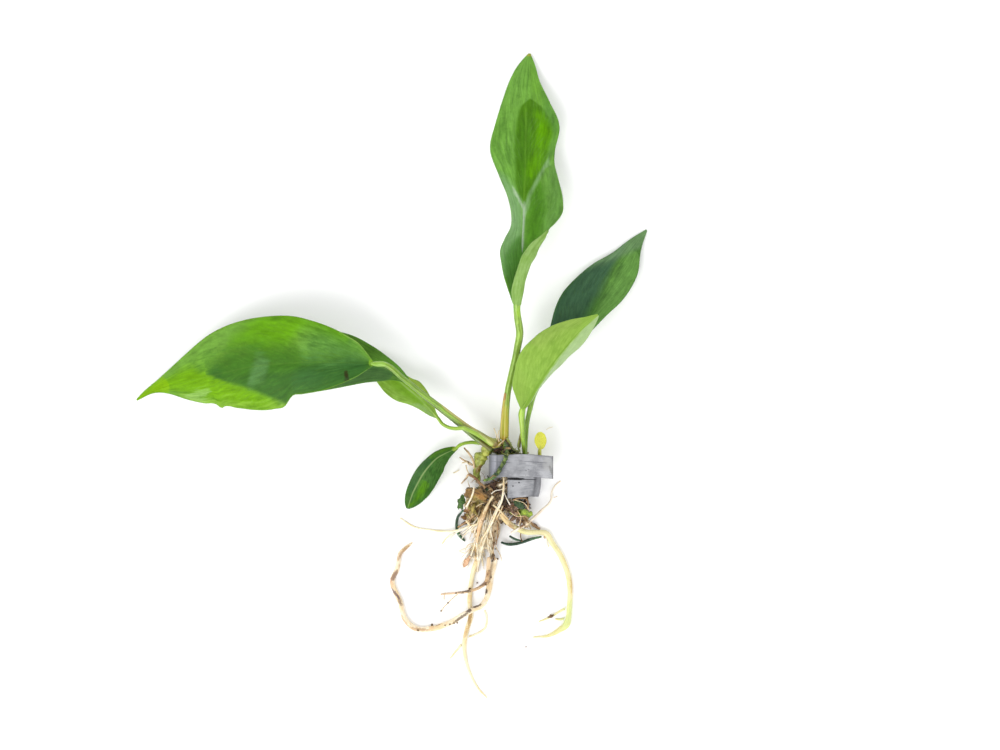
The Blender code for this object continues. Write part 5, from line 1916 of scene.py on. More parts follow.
TANGLE_DIRT = DirtFinish(
    "matted_dirt", "e2d0ac", "f6eedc", "c6a880", "8a8450", moss_share=0.25,
    spots=(
        # The first spot darkens the hollow beside the strip: partly dark debris, partly painted shade.
        (-4.2, -10.9, 3.5, 3.1, 0, "4a3a35", 0.9), (-2.1, -18.2, 4.2, 4.2, 0, "7a5f4c", 0.7),
        (-1, -17.2, 1.6, 3.1, -10, "d8bc94", 0.85), (1.7, -18.2, 1.4, 3.1, 0, "43302f", 0.9),
        (-3.5, -21, 1, 1.8, 0, "5a4236", 0.7), (-9, -20, 4.5, 5.9, 0, "b49a58", 0.85),
        (-6.6, -14.4, 2.4, 0.9, -52, "5a7038", 0.8), (7, -21.4, 4.9, 4.9, 0, "a88c74", 0.85),
        (7.6, -21.4, 1.4, 1, 0, "8aa832"), (6.3, -18.3, 1.4, 1, 0, "4a5a34"),
        (9.4, -17.9, 1, 1.8, 0, "4a3428", 0.9), (9.4, -23.1, 1, 1.4, 0, "cdb574"),
        (-8.7, -32.8, 0.9, 4.2, 0, "a0804c", 0.6), (-2.1, -30.7, 1, 4.2, 0, "b0946c", 0.5),
        (-2.1, -36.9, 0.9, 1.4, 0, "4a3a48", 0.9), (-0.3, -26.3, 1, 2.4, 0, "6a4a38", 0.85),
        (-7.7, -27.8, 0.9, 3.5, -16, "e0a468", 0.8),
    ),
)
CRUMB_DIRT = DirtFinish("dirt_crumbs", "6e5438", "a88a60", "3c2e22", "5f6a3e")
LEAD_STRIP = LeadFinish(
    spots=(
        # The first spot is painted shade, a dark line along the left bend.
        (-3.1, -5.3, 0.3, 4.2, 0, "606268", 0.8), (3.8, -4.6, 2.1, 2.8, 10, "c6c7cb", 0.5),
        (9, -2.5, 2.4, 1, 0, "c4c5c9", 0.4), (-1, -5.3, 3.1, 4.9, 0, "8b8d96", 0.6),
        (0, -3.9, 4.9, 0.2, -5, "74767c", 0.7), (-1, -5.3, 0.4, 4.2, 0, "7a7c82", 0.6),
        # Painted shadow: these two dark lines fill the gap between the upper and the lower run.
        (5.2, -9.8, 3.8, 0.5, -1, "17181a", 0.95), (9.7, -10, 3.1, 0.2, -1, "3a3b3e", 0.8),
        (16.6, -4.6, 1.8, 2.4, 0, "c9c9c6", 0.5), (17.7, -6.7, 0.5, 1.8, 20, "8e8e8a", 0.6),
        (12.1, -3.9, 4.9, 0.2, -4, "86878c", 0.7), (4.5, -12.3, 0.3, 0.3, 0, "4a4b50", 0.8),
        (6.6, -11.1, 0.3, 0.3, 0, "303134", 0.9),
    ),
)
BROWN_LEAF = ScrapFinish(
    "rotten_brown_leaf", "a68040", "7a5a2c", "54401f",
    spots=(
        (-10.8, -12.7, 1.2, 0.6, 30, "4a3018", 0.6), (-6.9, -15.8, 1.8, 1, -30, "b07c34", 0.6),
        (-8.7, -14.4, 2.1, 0.3, -25, "5a3a1a", 0.7), (-9.7, -14.7, 1, 0.3, 40, "4e341c", 0.7),
        (-9.7, -16.8, 2.1, 1.4, 0, "b8a256", 0.8), (-7.6, -17.9, 1.8, 1, 0, "94903c", 0.8),
        (-11.1, -15.4, 0.9, 1.8, 0, "7a5a28", 0.7),
    ),
)
BROWN_SHRED = ScrapFinish("rotten_leaf_shred", "ba8a4c", "80562c", "523c22")
ORANGE_SHRED = ScrapFinish("orange_shred", "f8d0a8", "eab488", "d09a6a")
GREEN_SHRED = ScrapFinish("moss_green_shred", "5d8a34", "35571f", "2c4219")
MOSS_SHRED = ScrapFinish("moss_shred", "54703c", "2c4828", "22381f")
OLIVE_SHRED = ScrapFinish("olive_shred", "c6b25c", "94823c", "665a32")
PINK_SHRED = ScrapFinish("pinkish_shred", "cdac92", "8c6a58", "4a322a")
LIME_SHRED = ScrapFinish("lime_shred", "a6bc38", "72902a", "566a22")
DARK_SHRED = ScrapFinish("dark_shred", "6e4e38", "3e2c22", "2a1e18")
TAN_SHRED = ScrapFinish("tan_shred", "dcc484", "b0945a", "80643a")

# The leaf blades

BLADES = (
    LeafBlade(
        "leaf_blade_large_left",
        (
            (-43.6, 30.1, 20), (-51.5, 30.4, 21.4), (-60.5, 30.6, 22), (-69, 30.4, 21.6), (-77.5, 30, 20.2),
            (-86, 29, 17.6), (-94.4, 27.3, 13.8), (-102.7, 25.3, 9.6), (-110.8, 23.4, 5.6),
            (-118.3, 21.4, 2.8), (-123, 19.7, 1.5), (-127.1, 17.5, 0.75),
        ),
        (
            (0, 0.7, 0), (0.03, 2.6, -0.2), (0.06, 4.5, -0.6), (0.1, 6.3, -1, 0.3), (0.2, 9.7, -1.8, 0.6),
            (0.28, 10.8, -2.3, 0.6), (0.32, 11.3, -2.5, 0.6), (0.35, 14.5, -3.4, 0.8), (0.4, 15.4, -4, 1),
            (0.5, 14.9, -4.4, 1), (0.58, 13, -4, 0.9), (0.64, 11.4, -3.4, 0.8), (0.655, 11.7, -3.2, 0.7),
            (0.67, 10.2, -3, 0.7), (0.72, 8.7, -2.4, 0.5), (0.8, 5.7, -1.4, 0.3), (0.85, 3.1, -0.7),
            (0.9, 1.1, -0.2), (1, 0.3, 0),
        ),
        (
            (0, 0.7, 0), (0.03, 4, 0.2), (0.06, 6.9, 0.2), (0.1, 9.1, 0, 0.5), (0.2, 13.3, -1.2, 1),
            (0.3, 16.1, -2.4, 1.4), (0.4, 16.7, -3, 1.5), (0.5, 16.3, -3.2, 1.3), (0.6, 14.9, -3, 1),
            (0.7, 11.8, -1.8, 0.7), (0.8, 7.5, -0.8, 0.3), (0.9, 3.2, -0.2), (1, 0.3, 0),
        ),
        LARGE_FACE, PALE_BACK, Slot.LEAF_BRIGHT,
    ),
    LeafBlade(
        "leaf_blade_middle_left",
        (
            (-32.2, 24, 13.2), (-37.5, 27.5, 14), (-44.5, 30, 14), (-51.7, 31.4, 13.4), (-59, 32.2, 12.4),
            (-66.4, 32.4, 11), (-73.8, 32, 9.2), (-81.2, 31.3, 7.2), (-87.5, 30.1, 5.2), (-94, 28.6, 3.4),
            (-100.4, 26.9, 1.8),
        ),
        (
            (0, 0.6, 0), (0.05, 2.1, -0.2), (0.1, 4, -0.4), (0.2, 6.8, -0.8), (0.4, 11.2, -1.6, 0.4),
            (0.6, 12.6, -2, 0.5), (0.8, 9.6, -1.4, 0.3), (0.9, 6, -0.8), (1, 0.4, 0),
        ),
        (
            (0, 1.3, 0), (0.05, 2.4, 0), (0.1, 3.4, -0.2), (0.2, 6, -0.6), (0.3, 8.5, -1.2, 0.3),
            (0.4, 9.6, -1.6, 0.5), (0.6, 9.8, -2, 0.5), (0.8, 6.6, -1.4, 0.3), (0.9, 3.8, -0.8), (1, 0.4, 0),
        ),
        MIDDLE_FACE, PALE_BACK, Slot.LEAF_DARK,
    ),
    LeafBlade(
        "leaf_blade_lower_left",
        (
            (-21.7, 11.5, 8.6), (-23.8, 13.8, 8.9), (-26.4, 16.5, 8.8), (-29.1, 19, 8.3), (-31.9, 21.4, 7.5),
            (-34.6, 23.8, 6.5), (-37.3, 26.3, 5.3), (-40.2, 28.6, 4), (-43.2, 30.6, 2.9), (-46.2, 32.4, 1.9),
            (-49.2, 34, 1.2),
        ),
        (
            (0, 0.5, 0), (0.05, 1.5, 0), (0.1, 2.1, 0), (0.2, 3, -0.2), (0.3, 4.2, -0.4), (0.4, 5.8, -0.7),
            (0.5, 6.4, -0.9), (0.7, 5.4, -0.8), (0.85, 3.6, -0.4), (1, 0.3, 0),
        ),
        (
            (0, 0.5, 0), (0.05, 1, 0), (0.1, 1.8, 0), (0.2, 3.3, -0.2), (0.3, 4.3, -0.4), (0.36, 4.5, -0.5),
            (0.43, 3.6, -0.7), (0.5, 3.1, -0.9), (0.7, 2.6, -0.8), (0.85, 2, -0.4), (1, 0.3, 0),
        ),
        LOWER_FACE, PALE_BACK, Slot.LEAF_UNDERSIDE,
    ),
    LeafBlade(
        "leaf_blade_small_left",
        (
            (-14.8, 0.9, 8.2), (-17, -0.1, 8.9), (-19.7, -1.3, 9.2), (-22.2, -2.8, 9.2), (-24.3, -4.9, 8.7),
            (-26.2, -7.2, 7.6), (-27.8, -9.7, 6), (-29.2, -12.3, 4.2), (-30.5, -14.9, 2.9),
            (-31.5, -17.7, 1.8), (-32.3, -20.5, 1.15),
        ),
        (
            (0, 0.5, 0), (0.05, 1, -0.3), (0.1, 1.7, -0.8), (0.2, 3.5, -1.8, 0.3), (0.3, 4.8, -2.6, 0.5),
            (0.4, 5.5, -2.8, 0.6), (0.6, 5.9, -2.2, 0.5), (0.8, 5, -1, 0.2), (0.9, 3.7, -0.4),
            (0.97, 1.8, 0), (1, 0.5, 0),
        ),
        (
            (0, 0.5, 0), (0.05, 1.2, -0.5), (0.1, 1.6, -1.2), (0.2, 2.1, -2.2, 0.5), (0.3, 2.3, -3, 0.7),
            (0.4, 2.6, -3.2, 0.8), (0.6, 2.8, -2.6, 0.6), (0.8, 2.4, -1.4, 0.3), (0.9, 1.9, -0.6),
            (0.97, 1.1, 0), (1, 0.5, 0),
        ),
        SMALL_FACE, PALE_BACK, Slot.LEAF_DARK, rows=72, columns=32,
    ),
    LeafBlade(
        "leaf_blade_tall",
        (
            (5.6, 50.8, 16.2), (6.2, 54, 16.8), (6.9, 58.8, 17), (7.4, 63.2, 16.9), (7.8, 67.7, 16.5),
            (8.2, 76.5, 15.4), (8.3, 85.4, 14.4), (8.6, 94.3, 13.2), (8.8, 103.1, 11.4), (9, 112, 9.2),
            (9, 120.9, 6.6), (9.5, 129.7, 3.8), (9.9, 134.2, 2.2), (10.3, 138.7, 0.85),
        ),
        (
            (0, 1.3, 0), (0.03, 2.8, 0.4), (0.06, 4.1, 0.8), (0.1, 5.7, 0.8), (0.15, 7.1, 0.4, 0.3),
            (0.2, 7.9, -0.8, 0.9), (0.25, 6.6, -3.2, 1.6), (0.3, 4.6, -5.6, 1.9), (0.35, 4.4, -6.4, 2),
            (0.4, 5.3, -6, 1.9), (0.5, 9.1, -3.2, 1.3), (0.6, 12.3, 0.2, 0.5), (0.7, 10.8, 0, 0.3),
            (0.8, 8.2, -1.2, 0.4), (0.9, 5.5, -1, 0.2), (0.95, 3.5, -0.6), (1, 0.4, 0),
        ),
        (
            (0, -1.1, 1.2, 0.4, 1.6), (0.05, -2.4, 2.4, 0.7, 2.8), (0.09, -2.1, 2.9, 0.8, 2.7),
            (0.13, -1.4, 3.1, 0.8, 3), (0.17, -0.5, 3.1, 0.8, 3.3), (0.21, 1.2, 3, 0.6, 4.5),
            (0.235, 2.8, 2.8, 0.4, 4.8), (0.26, 5.6, 2.4, 0.2, 4.2), (0.29, 8.6, 1.6, 0.1, 2.4),
            (0.32, 11.2, 0.4, 0.3, 0.8), (0.35, 13.2, -1.6, 0.8), (0.4, 13.6, -3, 1.2),
            (0.5, 11.5, -4.6, 1.5), (0.55, 10.3, -5.4, 1.6), (0.6, 10.3, -4.8, 1.5), (0.7, 11.7, -1.4, 0.8),
            (0.8, 8.3, -0.4, 0.4), (0.9, 4, -0.4, 0.1), (0.95, 2.5, -0.4), (1, 0.4, 0),
        ),
        TALL_FACE, FOLD_BACK, Slot.LEAF_BRIGHT, rows=150, columns=60,
    ),
    LeafBlade(
        "leaf_blade_far_right",
        (
            (12.4, 20.9, 11), (15.7, 25.7, 11.6), (20, 31.2, 11.6), (24.2, 36.7, 11), (28.1, 42.5, 10),
            (31.6, 48.5, 8.7), (35, 54.5, 7.1), (38.7, 60.4, 5.3), (42.6, 66.2, 3.6), (46.8, 71.7, 2),
            (51.3, 77, 0.8),
        ),
        (
            (0, 0.6, 0), (0.05, 1.8, -0.2), (0.1, 3.1, -0.6), (0.2, 6.1, -1.4, 0.2), (0.3, 9.1, -2.2, 0.4),
            (0.4, 11.2, -3, 0.6), (0.5, 11.7, -3.4, 0.7), (0.6, 10.1, -3, 0.6), (0.7, 7.8, -2.2, 0.4),
            (0.8, 4.4, -1.2, 0.2), (0.9, 2.5, -0.4), (1, 0.3, 0),
        ),
        (
            (0, 0.5, 0), (0.1, 0.6, -1.2, 0.2), (0.2, 1.2, -2.2, 0.5), (0.3, 2.3, -2.6, 0.6),
            (0.4, 3.7, -1.8, 0.4), (0.5, 5.4, -0.4, 0.1), (0.6, 7.4, 0.8), (0.7, 7.9, 0.8, -0.2),
            (0.8, 6.8, 0.5, -0.2), (0.9, 3.1, 0.2), (1, 0.3, 0),
        ),
        FAR_FACE, PALE_BACK, Slot.LEAF_DARK,
    ),
    LeafBlade(
        "leaf_blade_near_right",
        (
            (7.8, 14.6, 13.8), (9.8, 17.8, 14.8), (11.8, 21.4, 16), (14.2, 24.9, 17.2), (16.7, 28.4, 18.2),
            (19.3, 31.7, 18.9), (22, 35, 19.2), (24.7, 38.3, 19), (27.5, 41.4, 18.6), (30.7, 44.3, 18.2),
            (33.8, 46.9, 17.8),
        ),
        (
            (0, 0.9, 0), (0.03, 2.8, 0.3), (0.06, 4.4, 0.6), (0.1, 6.2, 0.8), (0.2, 8.5, 0.6, 0.4),
            (0.3, 10.3, -0.2, 0.8), (0.4, 11, -1.2, 1.2), (0.5, 10.5, -1.8, 1.4), (0.6, 9.7, -2, 1.2),
            (0.7, 7.9, -1.6, 0.9), (0.8, 5.2, -0.8, 0.5), (0.9, 2.4, -0.2, 0.2), (1, 0.4, 0),
        ),
        (
            (0, 0.7, 0), (0.05, 0.8, -0.8), (0.1, 0.8, -2, 0.3), (0.2, 1, -3.4, 0.6), (0.3, 1.3, -4.4, 0.9),
            (0.4, 1.7, -5, 1.1), (0.5, 2.3, -5.2, 1.2), (0.6, 2.6, -4.8, 1.1), (0.7, 3.4, -3.8, 0.8),
            (0.8, 3.3, -2.4, 0.5), (0.9, 2.2, -0.9, 0.2), (1, 0.4, 0),
        ),
        NEAR_FACE, NEAR_BACK, Slot.LEAF_UNDERSIDE, ridge_up=True,
    ),
    LeafBlade(
        "leaf_blade_yellow", ((14.1, 0.5, 9.2), (14.1, 2.4, 9.7), (14, 4.4, 9.9), (13.8, 6.5, 9.8)),
        (
            (0, 0.7, 0), (0.07, 1.1, 0.1), (0.25, 1.7, 0.2), (0.5, 2.1, 0.2), (0.7, 1.9, 0.2),
            (0.9, 1.2, 0.1), (1, 0.4, 0),
        ),
        (
            (0, 0.7, 0), (0.07, 1.1, 0.1), (0.25, 1.7, 0.2), (0.5, 2.1, 0.2), (0.7, 1.9, 0.2),
            (0.9, 1.3, 0.1), (1, 0.5, 0),
        ),
        YELLOW_FACE, YELLOW_FACE, Slot.LEAF_YELLOW, rows=40, columns=24, ripple=0.02, swell=0.05,
        rib_thickness=0.6, thickness=0.35,
    ),
)

# Stalks and sheaths

LEAF_STALK = {"sides": 16, "lumps": 0.04, "lump_length": 5}
SIDE_ROOT = {"sides": 10, "step": 0.3, "lumps": 0.25, "lump_length": 0.9}
THIN_STRAND = {"sides": 10, "step": 0.4, "lumps": 0.1}
STALKS = (
    strand(
        "leaf_stalk_large_left", LARGE_STALK, Slot.STALK, (-44.6, 30.25, 20.3, 0.3),
        (-43.8, 30.2, 20.1, 0.6), (-42.9, 30.1, 19.6, 0.85), (-39.6, 29.9, 20, 0.9), (-37.4, 28.7, 20, 0.95),
        (-34.1, 25.7, 19.4, 0.95), (-30.5, 22.8, 18.2, 0.95), (-26, 19.2, 16.6, 1), (-20.1, 14.8, 14, 1),
        (-14.2, 10.3, 11.7, 1), (-10.4, 7.6, 10.4, 1), (-7.4, 5.8, 9.6, 1.05), (-4.1, 3.7, 8.9, 1.2),
        (-1, 1.9, 7.8, 1.4), **LEAF_STALK,
    ),
    strand(
        "leaf_stalk_middle_left", BROWN_STALK, Slot.STALK, (-36.4, 26.7, 13.4, 0.3),
        (-34.2, 25.2, 13.1, 0.5), (-31.7, 23.5, 12.8, 0.75), (-27, 19.4, 12.1, 0.8),
        (-23.6, 16.6, 11.4, 0.85), (-18.4, 12.5, 9.8, 0.85), (-14.2, 9.1, 8.8, 0.85), (-9.2, 4.9, 8.2, 0.9),
        (-5.6, 2.2, 8, 0.9), (-2.5, -0.1, 7.5, 0.85), **LEAF_STALK,
    ),
    strand(
        "leaf_stalk_lower_left", BRIGHT_STALK, Slot.STALK, (-25.5, 15.6, 8.3, 0.25), (-23.6, 13.6, 8.4, 0.4),
        (-22, 11.8, 8.3, 0.55), (-21.3, 10.9, 8.2, 0.6), (-20.2, 9.4, 8.4, 0.6), (-18.1, 8.2, 9.4, 0.65),
        (-15.3, 7.7, 12, 0.65), (-12.6, 7.8, 13.6, 0.7), (-9.6, 6.6, 13.1, 0.75), (-6.1, 4.6, 12, 0.8),
        (-3.2, 2.4, 10.7, 0.85), (-2.5, 1.8, 10.4, 0.8), **LEAF_STALK,
    ),
    strand(
        "leaf_stalk_small_left", BRIGHT_STALK, Slot.STALK, (-19, -1, 8.7, 0.25), (-16.8, 0, 8.4, 0.4),
        (-15.1, 0.9, 8, 0.55), (-14.4, 1.6, 7.9, 0.6), (-13, 2.3, 7.4, 0.6), (-9.8, 2.8, 6, 0.65),
        (-6.6, 2.4, 5.4, 0.7), **LEAF_STALK,
    ),
    strand(
        "leaf_stalk_tall", TALL_STALK, Slot.STALK, (6.35, 57.5, 19.6, 0.25), (6.15, 55, 18.9, 0.7),
        (6, 52.8, 17.8, 1.15), (5.85, 50.9, 16.6, 1.3), (5.85, 48.8, 15.8, 1.2), (6.2, 45.6, 15.5, 1.3),
        (6.8, 41, 15, 1.3), (6.1, 36, 14.4, 1.25), (4.4, 28, 13.2, 1.2), (2.7, 20.4, 12, 1.15),
        (2.1, 13.4, 10.4, 1.15), (1.9, 6.4, 8.4, 1.2), (1.8, 2, 6.6, 1.2), **LEAF_STALK,
    ),
    strand(
        "leaf_stalk_near_right", RIGHT_STALK, Slot.STALK, (13, 23.2, 17, 0.25), (10.8, 19.5, 15.8, 0.45),
        (9, 16.5, 14.8, 0.7), (8, 14.8, 13.9, 0.95), (7.7, 13.9, 13.2, 1.1), (7.8, 8, 11, 0.95),
        (8.1, 3.4, 8.8, 0.8), (8.5, -0.4, 7.2, 0.75), (8.7, -2.2, 6.4, 0.7), **LEAF_STALK,
    ),
    strand(
        "leaf_stalk_far_right", RIGHT_STALK, Slot.STALK, (17, 27.3, 11, 0.25), (14.6, 24.1, 10.9, 0.5),
        (12.8, 21.4, 10.7, 0.8), (12.1, 20.2, 10.6, 0.9), (10.4, 14.4, 9.2, 0.85), (9.4, 9.4, 7.3, 0.8),
        (9.1, 5.2, 5.9, 0.75), (8.9, 1.2, 4.9, 0.7), (8.9, -2, 4.3, 0.65), **LEAF_STALK,
    ),
    strand(
        "leaf_stalk_yellow", STALK_YELLOW, Slot.LEAF_YELLOW, (14.1, 2.6, 9.4, 0.2), (14, 1, 9.1, 0.45),
        (13.8, 0, 8.8, 0.6), (13.8, -1.4, 7.8, 0.65), (13.9, -3.6, 5.8, 0.6), sides=10, step=0.3,
    ),
    strand(
        "sheath_of_tall_leaf", SHEATH_TALL, Slot.SHEATH, (1.8, 20, 13.2, 0.2), (1.25, 15.4, 11.6, 0.3),
        (0.85, 10.4, 9.9, 0.35), (0.6, 4.6, 7.9, 0.4), (0.6, 3.8, 7.6, 0.4), squash=(1.8, 0.8),
    ),
    strand(
        "sheath_of_right_leaves", SHEATH_TAN, Slot.SHEATH, (7.2, 6, 8.6, 0.2), (6.8, 3, 7.4, 0.45),
        (6.5, 0.9, 6.8, 0.5), squash=(1.3, 1),
    ),
)

# The rhizome and its side shoot

STEMS = (
    strand(
        "rhizome", RHIZOME_GREEN, Slot.RHIZOME, (-6.6, 0.7, 5, 1.9), (-5.2, 0.5, 5.2, 2.6),
        (-3.8, 1.3, 5.3, 2.3), (-1.8, 1.5, 5.3, 2.4), (0.4, 0.4, 5.3, 2.4), (2.4, -0.7, 5.3, 2.6),
        (4.8, -2.1, 5.3, 2.3), (7.2, -3.6, 5.2, 2.3), (9.6, -4.4, 5.2, 2.1), (12, -4.8, 5.1, 2.2),
        (14.2, -4.8, 5, 1.8), (15.8, -4.8, 5, 1.2), sides=28, step=0.3, lumps=0.26, lump_length=1.8,
        rings=0.42,
    ),
    strand(
        "rhizome_side_shoot", RHIZOME_GREEN, Slot.RHIZOME, (-6.5, -0.6, 4.7, 1.5), (-6.7, -1.8, 4.6, 1.75),
        (-6.9, -3.1, 4.5, 1.45), (-7.5, -4.9, 4.3, 1), (-8, -6.9, 4.1, 0.85), (-7.9, -9.2, 4, 0.75),
        (-7.3, -11.1, 4, 0.6), sides=24, step=0.25, lumps=0.28, lump_length=1.3, rings=0.6, squash=(1.4, 1),
    ),
)

# Roots and green strands

